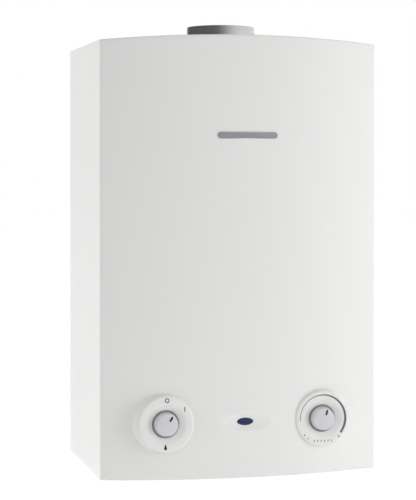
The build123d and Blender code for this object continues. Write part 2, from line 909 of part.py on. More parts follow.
# Parts on the board: the x, z, width, height and depth of each block on its rear, two
# capacitors beside them and the status lamp on its front
board_rear = board_depth - board_thickness
board_blocks = (
    (-120.0, 0.0, 52.0, 40.0, 34.0),
    (-62.0, 18.0, 22.0, 18.0, 16.0),
    (-62.0, -14.0, 22.0, 18.0, 16.0),
    (-30.0, 0.0, 16.0, 40.0, 18.0),
    (40.0, -18.0, 60.0, 14.0, 14.0),
    (120.0, 8.0, 36.0, 30.0, 12.0),
)
capacitor_places = ((20.0, 18.0), (46.0, 18.0))
capacitor_radius = 8.0
capacitor_length = 25.0
with BuildPart() as board_parts:
    with BuildSketch(facing(board_depth)):
        with Locations((0, dial_z)):
            Circle(led_radius)
    extrude(amount=led_length)
    fillet(board_parts.edges().group_by(Axis.Y)[0], radius=led_round)
    for x, z, width, height, depth in board_blocks:
        with BuildSketch(facing(board_rear)):
            with Locations((x, box_mid_z + z)):
                RectangleRounded(width, height, board_thickness)
        extrude(amount=-depth)
    with BuildSketch(facing(board_rear)):
        for x, z in capacitor_places:
            with Locations((x, box_mid_z + z)):
                Circle(capacitor_radius)
    extrude(amount=-capacitor_length)
save(board_parts, "board_parts")


def dial_control(centre_x, side_or_radius, square):
    """Switch or potentiometer on the board's front, with a bushing through the housing."""
    body_depth = board_setback - box_wall - seat_gap
    with BuildPart() as control:
        with BuildSketch(facing(board_depth)):
            with Locations((centre_x, dial_z)):
                if square:
                    RectangleRounded(side_or_radius, side_or_radius, box_wall)
                else:
                    Circle(side_or_radius)
        extrude(amount=body_depth)
        with BuildSketch(facing(board_depth + body_depth)):
            with Locations((centre_x, dial_z)):
                Circle(bushing_radius)
        extrude(amount=bushing_length)
        with BuildSketch(facing(board_depth + spindle_radius - running_gap)):
            with Locations((centre_x, dial_z)):
                Circle(spindle_radius + running_gap)
        extrude(amount=body_depth + bushing_length, mode=Mode.SUBTRACT)
    return control


save(dial_control(-dial_x, switch_side, True), "selector_switch")
save(dial_control(dial_x, pot_radius, False), "temperature_potentiometer")

# Light guide: carries the status lamp's light to the lens
guide_start = board_depth + led_length + seat_gap
guide_end = lens_depth - case_wall - lens_gap * 2 - lens_flange_thickness - seat_gap
with BuildPart() as light_guide:
    with BuildSketch(facing(guide_start)):
        with Locations((0, dial_z)):
            Circle(guide_radius)
    extrude(amount=guide_end - guide_start)
    with BuildSketch(facing(box_front_depth)):
        with Locations((0, dial_z)):
            Circle(guide_radius * 2)
    extrude(amount=box_wall / 2)
save(light_guide, "light_guide")

# Control box brackets: a foot on the chassis bottom and a cheek beside the box
with BuildPart() as box_brackets:
    cheek_top = bottom_z + bracket_height
    for side in (-1, 1):
        inner = side * box_half_width
        outer = side * (box_half_width + chassis_steel)
        toe = side * (box_half_width - bracket_foot)
        with BuildSketch(facing(box_rear_depth)):
            with BuildLine():
                Polyline(
                    (toe, bottom_z),
                    (outer, bottom_z),
                    (outer, cheek_top),
                    (inner, cheek_top),
                    (inner, bottom_z + chassis_steel),
                    (toe, bottom_z + chassis_steel),
                    close=True,
                )
            make_face()
        extrude(amount=bracket_depth)
save(box_brackets, "box_brackets")

# Heat exchanger: cast sections with flue ways inside, ribs outside and two pipe bosses
exchanger_front = exchanger_rear + exchanger_depth
exchanger_mid_y = -(exchanger_front + exchanger_rear) / 2
exchanger_height = exchanger_top - exchanger_bottom
way_width = (exchanger_half_width - exchanger_wall) * 2
way_depth = exchanger_depth - exchanger_wall * 2
rim_width = (exchanger_half_width + exchanger_rim) * 2
rim_depth = exchanger_depth + exchanger_rim * 2
boss_reach = exchanger_rear + exchanger_rim + back_y
burner_bottom = exchanger_top + gasket_thickness - burner_drop - burner_radius
fin_height = burner_bottom - fin_clearance - exchanger_bottom
with BuildPart() as heat_exchanger:
    with BuildSketch(level(exchanger_bottom)):
        with Locations((0, exchanger_mid_y)):
            RectangleRounded(exchanger_half_width * 2, exchanger_depth, exchanger_rim)
    extrude(amount=exchanger_height)
    for rim_bottom in (exchanger_bottom, exchanger_top - rim_thickness):
        with BuildSketch(level(rim_bottom)):
            with Locations((0, exchanger_mid_y)):
                RectangleRounded(rim_width, rim_depth, exchanger_rim)
        extrude(amount=rim_thickness)
    rib_span = exchanger_half_width * 2 - exchanger_rim * 2 - rib_width
    for index in range(rib_count):
        rib_x = -rib_span / 2 + index * rib_span / (rib_count - 1)
        with BuildSketch(level(exchanger_bottom)):
            with Locations((rib_x, -exchanger_front)):
                Rectangle(rib_width, rib_depth * 2)
        extrude(amount=exchanger_height)
    for boss_x, boss_bottom in ((return_x, return_boss_bottom), (flow_x, flow_boss_bottom)):
        with BuildSketch(level(boss_bottom)):
            with Locations((boss_x, -exchanger_rear - exchanger_rim)):
                Rectangle(boss_width, boss_reach, align=(Align.CENTER, Align.MIN))
        extrude(amount=boss_height)
    with BuildSketch(level(exchanger_bottom)):
        with Locations((0, exchanger_mid_y)):
            RectangleRounded(way_width, way_depth, exchanger_rim)
    extrude(amount=exchanger_height, mode=Mode.SUBTRACT)
    fin_pitch = way_width / (fin_count + 1)
    for index in range(fin_count):
        fin_x = -way_width / 2 + (index + 1) * fin_pitch
        with BuildSketch(level(exchanger_bottom)):
            with Locations((fin_x, exchanger_mid_y)):
                Rectangle(fin_thickness, way_depth)
        extrude(amount=fin_height)
    for boss_x, boss_bottom in ((return_x, return_boss_bottom), (flow_x, flow_boss_bottom)):
        with BuildSketch(level(boss_bottom)):
            with Locations((boss_x, -pipe_depth)):
                Circle(pipe_radius + running_gap)
        extrude(amount=boss_height / 2, mode=Mode.SUBTRACT)
save(heat_exchanger, "heat_exchanger")

# Burner gasket under the door's rim
with BuildPart() as burner_gasket:
    with BuildSketch(level(exchanger_top)):
        with Locations((0, exchanger_mid_y)):
            RectangleRounded(rim_width, rim_depth, exchanger_rim)
            RectangleRounded(way_width, way_depth, exchanger_rim, mode=Mode.SUBTRACT)
    extrude(amount=gasket_thickness)
save(burner_gasket, "burner_gasket")

# Burner door: plate over the exchanger, with the plenum that the fan blows into
door_bottom = exchanger_top + gasket_thickness
door_top = door_bottom + door_thickness
plenum_top = door_top + plenum_height
nozzle_x = fan_x - fan_radius + nozzle_width / 2
fan_y = -fan_depth
plenum_reach = 4.0
electrode_radius = 4.0
electrode_y = -154.0
ignition_x = (-62.0, -48.0)
sensing_x = -18.0
with BuildPart() as burner_door:
    with BuildSketch(level(door_bottom)):
        with Locations((0, exchanger_mid_y)):
            RectangleRounded(rim_width, rim_depth, exchanger_rim)
    extrude(amount=door_thickness)
    with BuildSketch(level(door_top)):
        with Locations((nozzle_x, fan_y)):
            RectangleRounded(nozzle_width + plenum_reach * 2, nozzle_depth + plenum_reach * 2, plenum_reach)
    extrude(amount=plenum_height)
    with BuildSketch(level(door_bottom)):
        with Locations((nozzle_x, fan_y)):
            Rectangle(nozzle_width - plenum_reach, nozzle_depth - plenum_reach)
        for rod_x in (*ignition_x, sensing_x):
            with Locations((rod_x, electrode_y)):
                Circle(electrode_radius + seat_gap)
    extrude(amount=door_thickness + plenum_height, mode=Mode.SUBTRACT)
save(burner_door, "burner_door")

# Burner: slotted steel tube hung under the door from a flanged neck
burner_z = door_bottom - burner_drop
neck_width = 90.0
neck_depth = 24.0
flange_margin = 6.0
slot_pitch = (burner_length - burner_radius / 2) / burner_slots
with BuildPart() as burner:
    with BuildSketch(Plane.YZ.offset(-burner_length / 2)):
        with Locations((exchanger_mid_y, up(burner_z))):
            Circle(burner_radius)
    extrude(amount=burner_length)
    with BuildSketch(level(burner_z)):
        with Locations((0, exchanger_mid_y)):
            Rectangle(neck_width, neck_depth)
    extrude(amount=burner_drop)
    with BuildSketch(level(door_bottom)):
        with Locations((0, exchanger_mid_y)):
            Rectangle(way_width - flange_margin, neck_depth + flange_margin * 2)
    extrude(amount=-burner_wall * 2)
    with BuildSketch(Plane.YZ.offset(burner_wall - burner_length / 2)):
        with Locations((exchanger_mid_y, up(burner_z))):
            Circle(burner_radius - burner_wall)
    extrude(amount=burner_length - burner_wall * 2, mode=Mode.SUBTRACT)
    with BuildSketch(level(burner_z)):
        with Locations((0, exchanger_mid_y)):
            Rectangle(neck_width - burner_wall * 2, neck_depth - burner_wall * 2)
    extrude(amount=burner_drop, mode=Mode.SUBTRACT)
    with BuildSketch(level(burner_z - burner_radius)):
        with Locations((0, exchanger_mid_y)):
            with GridLocations(slot_pitch, 0, burner_slots, 1):
                Rectangle(burner_wall, burner_radius)
    extrude(amount=burner_radius / 2, mode=Mode.SUBTRACT)
save(burner, "burner")

# Electrodes: an ignition pair and a flame rod, each in ceramic with a clamp plate on the door
rod_radius = 1.0
ceramic_below = 12.0
ceramic_above = 18.0
rod_reach = 26.0
clamp_margin = 7.0
clamp_height = 3.0
electrode_top = door_top + ceramic_above
with BuildPart() as electrodes:
    for places in (ignition_x, (sensing_x,)):
        clamp_length = places[-1] - places[0] + clamp_margin * 2
        with BuildSketch(level(door_top)):
            with Locations(((places[0] + places[-1]) / 2, electrode_y)):
                RectangleRounded(clamp_length, clamp_margin * 2, clamp_margin / 2)
        extrude(amount=clamp_height)
        for place in places:
            with BuildSketch(level(door_bottom - ceramic_below)):
                with Locations((place, electrode_y)):
                    Circle(electrode_radius)
            extrude(amount=electrode_top - door_bottom + ceramic_below)
            with BuildSketch(level(door_bottom - ceramic_below - rod_reach)):
                with Locations((place, electrode_y)):
                    Circle(rod_radius)
            extrude(amount=rod_reach)
save(electrodes, "electrodes")

# Fan housing: volute with a square nozzle on the plenum and a round inlet at the front
fan_height = plenum_top + fan_gap + fan_radius
fan_centre = (fan_x, up(fan_height))
fan_rear = fan_depth - fan_body / 2
fan_front = fan_depth + fan_body / 2
with BuildPart() as fan_housing:
    with BuildSketch(facing(fan_rear)):
        with Locations(fan_centre):
            Circle(fan_radius)
        with Locations((nozzle_x, up(plenum_top))):
            Rectangle(nozzle_width, fan_radius + fan_gap, align=(Align.CENTER, Align.MIN))
    extrude(amount=fan_body)
    with BuildSketch(facing(fan_rear)):
        with Locations(fan_centre):
            Circle(fan_radius - fan_wall)
    extrude(amount=fan_body - fan_wall, mode=Mode.SUBTRACT)
    with BuildSketch(level(plenum_top)):
        with Locations((nozzle_x, fan_y)):
            Rectangle(nozzle_width - fan_wall * 2, nozzle_depth - fan_wall * 2)
    extrude(amount=fan_radius, mode=Mode.SUBTRACT)
    with BuildSketch(facing(fan_front - fan_wall)):
        with Locations(fan_centre):
            Circle(inlet_radius)
    extrude(amount=fan_wall, mode=Mode.SUBTRACT)
save(fan_housing, "fan_housing")

# Fan back plate: closes the volute and carries the motor
motor_front = fan_rear - fan_wall
with BuildPart() as fan_back_plate:
    with BuildSketch(facing(motor_front)):
        with Locations(fan_centre):
            Circle(fan_radius)
            Circle(shaft_radius + seat_gap, mode=Mode.SUBTRACT)
    extrude(amount=fan_wall)
save(fan_back_plate, "fan_back_plate")

# Fan motor: ribbed can behind the back plate, bored for the shaft, with a plug socket below
groove_count = 3
groove_size = 3.0
groove_pitch = motor_length / (groove_count + 1)
socket_width = 18.0
socket_height = 14.0
socket_thickness = 10.5
motor_socket_y = -motor_front + groove_pitch * 1.5 + groove_size / 2
with BuildPart() as fan_motor:
    with BuildSketch(facing(motor_front)):
        with Locations(fan_centre):
            Circle(motor_radius)
    extrude(amount=-motor_length)
    fillet(fan_motor.edges().group_by(Axis.Y)[-1], radius=groove_size)
    for index in range(groove_count):
        with BuildSketch(facing(motor_front - (index + 1) * groove_pitch)):
            with Locations(fan_centre):
                Circle(motor_radius)
                Circle(motor_radius - groove_size, mode=Mode.SUBTRACT)
        extrude(amount=-groove_size, mode=Mode.SUBTRACT)
    socket_bottom = fan_height - motor_radius - socket_height / 2
    with BuildSketch(level(socket_bottom)):
        with Locations((fan_x, motor_socket_y)):
            Rectangle(socket_width, socket_thickness)
    extrude(amount=socket_height)
    with BuildSketch(facing(motor_front)):
        with Locations(fan_centre):
            Circle(shaft_radius + running_gap)
    extrude(amount=-motor_length / 2, mode=Mode.SUBTRACT)
save(fan_motor, "fan_motor")

# Fan shaft and the impeller that is pressed on it
impeller_rear = fan_rear + fan_wall
shaft_rear = motor_front - motor_length / 2 + fan_wall
blade_lean = 35.0
with BuildPart() as fan_shaft:
    with BuildSketch(facing(shaft_rear)):
        with Locations(fan_centre):
            Circle(shaft_radius)
    extrude(amount=impeller_rear + impeller_width / 2 - shaft_rear)
save(fan_shaft, "fan_shaft")
with BuildPart() as fan_impeller:
    with BuildSketch(facing(impeller_rear)):
        with Locations(fan_centre):
            Circle(impeller_radius)
    extrude(amount=impeller_disc)
    with BuildSketch(facing(impeller_rear)):
        with Locations(fan_centre):
            Circle(impeller_hub_radius)
    extrude(amount=impeller_width / 2)
    with BuildSketch(facing(impeller_rear + impeller_disc)):
        with Locations(fan_centre):
            with PolarLocations((impeller_radius + inlet_radius) / 2, blade_count):
                Rectangle(impeller_radius - inlet_radius, blade_thickness, rotation=blade_lean)
    extrude(amount=impeller_width - impeller_disc)
    with BuildSketch(facing(impeller_rear)):
        with Locations(fan_centre):
            Circle(shaft_radius + press_gap)
    extrude(amount=impeller_width, mode=Mode.SUBTRACT)
save(fan_impeller, "fan_impeller")

# Gas mixer: venturi on the fan's inlet with a stub for the gas pipe
mixer_flange = 4.0
mixer_flange_radius = 30.0
stub_length = 12.0
stub_bottom = fan_height - mixer_radius - stub_length
mixer_front = fan_front + mixer_flange + mixer_length
throat_front = fan_front + mixer_flange + mixer_length / 2
feed_end_y = -throat_front
with BuildPart() as gas_mixer:
    with BuildSketch(facing(fan_front)):
        with Locations(fan_centre):
            Circle(mixer_flange_radius)
    extrude(amount=mixer_flange)
    with BuildSketch(facing(fan_front)):
        with Locations(fan_centre):
            Circle(mixer_radius)
    extrude(amount=mixer_front - fan_front)
    with BuildSketch(level(stub_bottom)):
        with Locations((fan_x, feed_end_y)):
            Circle(stub_radius)
    extrude(amount=stub_length + mixer_radius / 2)
    with BuildSketch(Plane.XY.offset(fan_centre[1])):
        with BuildLine():
            Polyline(
                (fan_x, -fan_front),
                (fan_x + inlet_radius, -fan_front),
                (fan_x + mixer_throat, mixer_flange - throat_front),
                (fan_x + mixer_throat, -throat_front),
                (fan_x + inlet_radius, -mixer_front),
                (fan_x, -mixer_front),
                close=True,
            )
        make_face()
    revolve(axis=Axis((fan_x, 0, fan_centre[1]), (0, 1, 0)), mode=Mode.SUBTRACT)
    with BuildSketch(level(stub_bottom)):
        with Locations((fan_x, feed_end_y)):
            Circle(feed_radius + running_gap)
    extrude(amount=stub_length / 2, mode=Mode.SUBTRACT)
    with BuildSketch(level(stub_bottom)):
        with Locations((fan_x, feed_end_y)):
            Circle(feed_radius - pipe_wall)
    extrude(amount=stub_length + mixer_radius / 2, mode=Mode.SUBTRACT)
save(gas_mixer, "gas_mixer")

# Gas valve: die-cast block with an inlet below and an outlet above
valve_top = valve_bottom + valve_height
socket_depth = 8.0
valve_round = 4.0
with BuildPart() as gas_valve:
    with BuildSketch(level(valve_bottom)):
        with Locations((gas_x, valve_y)):
            RectangleRounded(valve_width, valve_depth, valve_round)
    extrude(amount=valve_height)
    with BuildSketch(level(valve_bottom)):
        with Locations((gas_x, valve_y)):
            Circle(pipe_radius + running_gap)
    extrude(amount=socket_depth, mode=Mode.SUBTRACT)
    with BuildSketch(level(valve_top - socket_depth)):
        with Locations((gas_x, valve_y)):
            Circle(feed_radius + running_gap)
    extrude(amount=socket_depth, mode=Mode.SUBTRACT)
save(gas_valve, "gas_valve")

# Valve coils: two on the block's front, one above the other
coil_pitch = 44.0
coil_round = 2.0
coil_low = valve_bottom + (valve_height - coil_pitch) / 2
coil_face = valve_depth / 2 - valve_y
with BuildPart() as valve_coils:
    for height in (coil_low, coil_low + coil_pitch):
        with BuildSketch(facing(coil_face)):
            with Locations((gas_x, up(height))):
                Circle(coil_radius)
        extrude(amount=coil_length)
    fillet(valve_coils.edges().group_by(Axis.Y)[0], radius=coil_round)
save(valve_coils, "valve_coils")


def tail_bead(x, radius):
    """Section of the bead just below the case that stops a fitting pushed on a pipe's tail."""
    with BuildSketch(level(-bead_height)) as bead:
        with Locations((x, -pipe_depth)):
            Circle(radius + bead_rise)
            Circle(radius - pipe_wall, mode=Mode.SUBTRACT)
    return bead.sketch


def straight_pipe(x, high):
    """Copper pipe that stands upright from its tail below the case, up to a height."""
    with BuildPart() as pipe:
        with BuildSketch(level(-pipe_tail)):
            with Locations((x, -pipe_depth)):
                Circle(pipe_radius)
                Circle(pipe_radius - pipe_wall, mode=Mode.SUBTRACT)
        extrude(amount=high + pipe_tail)
        extrude(tail_bead(x, pipe_radius), amount=bead_height)
    return pipe


save(straight_pipe(flow_x, flow_boss_bottom + boss_height / 2), "flow_pipe")
save(straight_pipe(return_x, return_boss_bottom + boss_height / 2), "return_pipe")

# Union nuts under the two exchanger bosses
with BuildPart() as union_nuts:
    for nut_x, boss_bottom in ((flow_x, flow_boss_bottom), (return_x, return_boss_bottom)):
        with BuildSketch(level(boss_bottom - nut_length)):
            with Locations((nut_x, -pipe_depth)):
                RegularPolygon(nut_radius, 6)
                Circle(pipe_radius + running_gap, mode=Mode.SUBTRACT)
        extrude(amount=nut_length)
save(union_nuts, "union_nuts")

# Gas cock: brass body on the gas pipe with its spindle boss facing the room
cock_mid = cock_bottom + cock_length / 2
cock_boss_radius = 10.5
spindle_front = pipe_depth + cock_radius + socket_depth
with BuildPart() as gas_cock:
    with BuildSketch(level(cock_bottom)):
        with Locations((gas_x, -pipe_depth)):
            Circle(cock_radius)
    extrude(amount=cock_length)
    with BuildSketch(facing(pipe_depth)):
        with Locations((gas_x, up(cock_mid))):
            Circle(cock_boss_radius)
    extrude(amount=spindle_front - pipe_depth)
    for height in (cock_bottom, cock_bottom + cock_length - socket_depth):
        with BuildSketch(level(height)):
            with Locations((gas_x, -pipe_depth)):
                Circle(pipe_radius + running_gap)
        extrude(amount=socket_depth, mode=Mode.SUBTRACT)
    with BuildSketch(facing(pipe_depth)):
        with Locations((gas_x, up(cock_mid))):
            Circle(cock_spindle_radius + running_gap)
    extrude(amount=spindle_front - pipe_depth, mode=Mode.SUBTRACT)
save(gas_cock, "gas_cock")

# Gas cock lever: flat handle with its spindle, upright when the gas is on
lever_gap = 0.4
lever_middle = (lever_length - lever_width) / 2
with BuildPart() as gas_cock_lever:
    with BuildSketch(facing(spindle_front + lever_gap)):
        with Locations((gas_x, up(cock_mid + lever_middle))):
            SlotOverall(lever_length, lever_width, rotation=90)
    extrude(amount=lever_thickness)
    with BuildSketch(facing(pipe_depth + lever_gap)):
        with Locations((gas_x, up(cock_mid))):
            Circle(cock_spindle_radius)
    extrude(amount=spindle_front - pipe_depth + lever_thickness / 2)
save(gas_cock_lever, "gas_cock_lever")

# Gas pipes: the tail below the cock and the bent pipe from the cock to the valve
supply_low = cock_bottom + cock_length - socket_depth
supply_bend = 30.0
supply_rise = 40.0
supply_points = (
    (gas_x, -pipe_depth, up(supply_low)),
    (gas_x, -pipe_depth, up(supply_low + supply_rise)),
    (gas_x, valve_y, up(valve_bottom - supply_rise)),
    (gas_x, valve_y, up(valve_bottom + socket_depth)),
)
gas_tail = straight_pipe(gas_x, cock_bottom + socket_depth)
with BuildPart() as gas_pipes:
    tube(rod_path(supply_points, supply_bend), pipe_radius, pipe_wall, upright_at(supply_points[0]))
    add(gas_tail.part)
save(gas_pipes, "gas_pipes")

# Gas feed pipe from the valve to the mixer
feed_rise = 44.0
feed_bend = 22.0
feed_points = (
    (gas_x, valve_y, up(valve_top - socket_depth)),
    (gas_x, valve_y, up(valve_top - socket_depth + feed_rise)),
    (fan_x, feed_end_y, up(stub_bottom - feed_rise)),
    (fan_x, feed_end_y, up(stub_bottom + stub_length / 2)),
)
with BuildPart() as gas_feed_pipe:
    tube(rod_path(feed_points, feed_bend), feed_radius, pipe_wall, upright_at(feed_points[0]))
save(gas_feed_pipe, "gas_feed_pipe")

# Condensate sump: moulded tray under the exchanger with a socket for the flue duct
sump_depth = exchanger_bottom - sump_bottom
socket_radius = flue_spigot_radius + bell_gap
lobe_radius = socket_radius + sump_wall
socket_rise = 16.0
neck_half = 27.0
stub_wall = 2.5
trap_top = trap_bottom + trap_height


def sump_plan(inset):
    """Plan of the sump: under the exchanger, a neck to the left and the round lobe of the duct."""
    with BuildSketch() as plan:
        with Locations((0, exchanger_mid_y)):
            Rectangle((exchanger_half_width - inset) * 2, exchanger_depth - inset * 2)
        with Locations((drain_x, duct_y)):
            Circle(lobe_radius - inset)
        with Locations((drain_x / 2, duct_y)):
            Rectangle(-drain_x, (neck_half - inset) * 2)
    return plan.sketch


with BuildPart() as condensate_sump:
    with BuildSketch(level(sump_bottom)):
        add(sump_plan(0))
    extrude(amount=sump_depth)
    with BuildSketch(level(sump_bottom + sump_wall)):
        add(sump_plan(sump_wall))
    extrude(amount=sump_depth - sump_wall * 2, mode=Mode.SUBTRACT)
    with BuildSketch(level(exchanger_bottom)):
        with Locations((drain_x, duct_y)):
            Circle(lobe_radius)
    extrude(amount=socket_rise)
    with BuildSketch(level(exchanger_bottom - sump_wall)):
        with Locations((drain_x, duct_y)):
            Circle(socket_radius)
    extrude(amount=socket_rise + sump_wall, mode=Mode.SUBTRACT)
    with BuildSketch(level(exchanger_bottom - sump_wall)):
        with Locations((0, exchanger_mid_y)):
            RectangleRounded(way_width, way_depth, exchanger_rim)
    extrude(amount=sump_wall, mode=Mode.SUBTRACT)
    with BuildSketch(level(trap_top)):
        with Locations((drain_x, trap_y)):
            Circle(stub_radius)
    extrude(amount=sump_bottom - trap_top)
    with BuildSketch(level(trap_top)):
        with Locations((drain_x, trap_y)):
            Circle(stub_radius - stub_wall)
    extrude(amount=sump_bottom + sump_wall - trap_top, mode=Mode.SUBTRACT)
save(condensate_sump, "condensate_sump")

# Condensate trap: bottle below the sump with an outlet towards the wall
outlet_y = trap_y + trap_radius + sump_wall
trap_round = 6.0
drain_wall = 1.5
with BuildPart() as condensate_trap:
    with BuildSketch(level(trap_bottom)):
        with Locations((drain_x, trap_y)):
            Circle(trap_radius)
    extrude(amount=trap_height)
    fillet(condensate_trap.edges().group_by(Axis.Z)[0], radius=trap_round)
    with BuildSketch(facing(-outlet_y)):
        with Locations((drain_x, up(trap_outlet_height))):
            Circle(drain_radius)
    extrude(amount=trap_radius / 2)
    with BuildSketch(level(trap_bottom + sump_wall)):
        with Locations((drain_x, trap_y)):
            Circle(trap_radius - sump_wall)
    extrude(amount=trap_height - sump_wall * 2, mode=Mode.SUBTRACT)
    with BuildSketch(level(trap_top - sump_wall)):
        with Locations((drain_x, trap_y)):
            Circle(stub_radius - stub_wall)
    extrude(amount=sump_wall, mode=Mode.SUBTRACT)
    with BuildSketch(facing(-outlet_y)):
        with Locations((drain_x, up(trap_outlet_height))):
            Circle(drain_radius - drain_wall)
    extrude(amount=trap_radius / 2, mode=Mode.SUBTRACT)
save(condensate_trap, "condensate_trap")

# Condensate pipe from the trap's outlet down through the chassis
drain_bend = 22.0
drain_points = (
    (drain_x, outlet_y, up(trap_outlet_height)),
    (drain_x, -pipe_depth, up(trap_outlet_height)),
    (drain_x, -pipe_depth, up(-pipe_tail)),
)
drain_start = Plane(origin=drain_points[0], z_dir=(0, 1, 0))
with BuildPart() as condensate_pipe:
    tube(rod_path(drain_points, drain_bend), drain_radius, drain_wall, drain_start)
    extrude(tail_bead(drain_x, drain_radius), amount=bead_height)
save(condensate_pipe, "condensate_pipe")

# Flue duct: from the sump up the left side and across to the middle of the top
spigot_top = flue_rim_height - turret_flange
spigot_bottom = spigot_top - spigot_length
duct_low = exchanger_bottom
duct_turn = 474.0
duct_join = 548.0
lower_bend = 50.0
upper_bend = 36.0
bell_radius = flue_spigot_radius + flue_wall + bell_gap
duct_points = (
    (drain_x, duct_y, up(duct_low)),
    (drain_x, duct_y, up(duct_turn)),
    (0, flue_y, up(duct_join)),
    (0, flue_y, up(spigot_bottom)),
)
with BuildPart() as flue_duct:
    duct_path = rod_path(duct_points, (lower_bend, upper_bend))
    tube(duct_path, flue_spigot_radius, duct_wall, upright_at(duct_points[0]))
    with BuildSketch(level(spigot_bottom - duct_wall)):
        with Locations((0, flue_y)):
            Circle(bell_radius + duct_wall)
            Circle(flue_spigot_radius - duct_wall, mode=Mode.SUBTRACT)
    extrude(amount=duct_wall)
    with BuildSketch(level(spigot_bottom)):
        with Locations((0, flue_y)):
            Circle(bell_radius + duct_wall)
            Circle(bell_radius, mode=Mode.SUBTRACT)
    extrude(amount=bell_length)
save(flue_duct, "flue_duct")

# Flue turret: flange on the seal, four spokes and the inner spigot
turret_bottom = case_side_height + case_crown + pad_rise + seal_thickness
spoke_width = 5.0
spoke_count = 4
spoke_circle = (collar_radius + flue_spigot_radius) / 2
with BuildPart() as flue_turret:
    with BuildSketch(level(turret_bottom)):
        with Locations((0, flue_y)):
            Circle(turret_flange_radius)
            Circle(collar_radius - collar_wall, mode=Mode.SUBTRACT)
            with PolarLocations(spoke_circle, spoke_count, start_angle=180.0 / spoke_count):
                Rectangle(collar_radius - flue_spigot_radius, spoke_width)
        flue_holes(flue_screw_radius + thread_gap)
    extrude(amount=turret_flange)
    with BuildSketch(level(spigot_bottom)):
        with Locations((0, flue_y)):
            Circle(flue_spigot_radius + flue_wall)
    extrude(amount=spigot_length)
    with BuildSketch(level(spigot_bottom)):
        with Locations((0, flue_y)):
            Circle(flue_spigot_radius)
    extrude(amount=spigot_length, mode=Mode.SUBTRACT)
save(flue_turret, "flue_turret")

# Flue seal between the pad and the turret
with BuildPart() as flue_seal:
    with BuildSketch(level(turret_bottom - seal_thickness)):
        with Locations((0, flue_y)):
            Circle(turret_flange_radius)
            Circle(collar_radius + seat_gap, mode=Mode.SUBTRACT)
        flue_holes(flue_screw_radius + thread_gap)
    extrude(amount=seal_thickness)
save(flue_seal, "flue_seal")

# Flue collar: bright metal ring that takes the air pipe
collar_base = turret_bottom + turret_flange
with BuildPart() as flue_collar:
    with BuildSketch(level(collar_base)):
        with Locations((0, flue_y)):
            Circle(collar_radius)
            Circle(collar_radius - collar_wall, mode=Mode.SUBTRACT)
    extrude(amount=flue_rim_height - collar_base)
save(flue_collar, "flue_collar")

# Flue screws: four through the flange and the seal into the pad
flue_head_radius = 3.2
flue_head_height = 1.8
flue_screw_length = turret_flange + seal_thickness + chassis_steel * 2
with BuildPart() as flue_screws:
    with BuildSketch(level(collar_base)):
        flue_circles(flue_head_radius)
    extrude(amount=flue_head_height)
    fillet(flue_screws.faces().group_by(Axis.Z)[-1].edges(), radius=flue_head_height / 2)
    with BuildSketch(level(collar_base)):
        flue_circles(flue_screw_radius)
    extrude(amount=-flue_screw_length)
save(flue_screws, "flue_screws")

# Cable gland in the chassis bottom, with its nut inside
gland_bore = 4.0
gland_nut = 15.0
gland_nut_height = 5.0
gland_drop = 18.0
with BuildPart() as cable_gland:
    with BuildSketch(level(bottom_height - gland_drop)):
        with Locations((gland_x, -gland_depth)):
            Circle(gland_radius - seat_gap)
    extrude(amount=gland_drop + gland_nut_height)
    for low in (bottom_height, bottom_height - chassis_steel - gland_nut_height):
        with BuildSketch(level(low)):
            with Locations((gland_x, -gland_depth)):
                RegularPolygon(gland_nut, 6)
        extrude(amount=gland_nut_height)
    with BuildSketch(level(bottom_height - gland_drop)):
        with Locations((gland_x, -gland_depth)):
            Circle(gland_bore)
    extrude(amount=gland_drop + gland_nut_height, mode=Mode.SUBTRACT)
save(cable_gland, "cable_gland")

# Leads from the circuit board to the fan, the gas valve and the ignition electrode
riser_y = -154.0
lead_bend = 18.0
boot_bend = 10.0
fan_lead_turn = 430.0
ignition_lead_rise = 26.0
ignition_lead_top = electrode_top + ignition_lead_rise
valve_lead_y = -coil_face - coil_length / 2
board_z = up(lead_height)
fan_lead_points = (
    (fan_lead_x, -board_rear, board_z),
    (fan_lead_x, riser_y, board_z),
    (fan_lead_x, riser_y, up(fan_lead_turn)),
    (fan_x, motor_socket_y, up(fan_lead_turn + lead_bend)),
    (fan_x, motor_socket_y, up(socket_bottom)),
)
valve_lead_points = (
    (gas_x, -board_rear, board_z),
    (gas_x, valve_lead_y, board_z),
    (gas_x, valve_lead_y, up(coil_low - coil_radius)),
)
ignition_lead_points = (
    (ignition_lead_x, -board_rear, board_z),
    (ignition_lead_x, riser_y, board_z),
    (ignition_lead_x, riser_y, up(ignition_lead_top)),
    (ignition_x[0], electrode_y, up(ignition_lead_top)),
    (ignition_x[0], electrode_y, up(electrode_top)),
)
with BuildPart() as leads:
    for points, bends in (
        (fan_lead_points, (lead_bend, boot_bend, boot_bend)),
        (valve_lead_points, (boot_bend,)),
        (ignition_lead_points, (lead_bend, lead_bend, boot_bend)),
    ):
        with BuildSketch(Plane(origin=points[0], z_dir=(0, 1, 0))) as section:
            Circle(lead_radius)
        sweep(section.sketch, path=rod_path(points, bends))
save(leads, "leads")
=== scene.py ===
"""The looks of a wall-hung gas boiler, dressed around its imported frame.

Sizes are in millimetres and in the terms of the real object: x runs to the right of someone
who faces it, y is negative into the room with the wall at 0, and h is a height above the
case's bottom edge. to_frame turns them into the frame's metres.
"""

import logging
import math
from dataclasses import dataclass
from enum import Enum

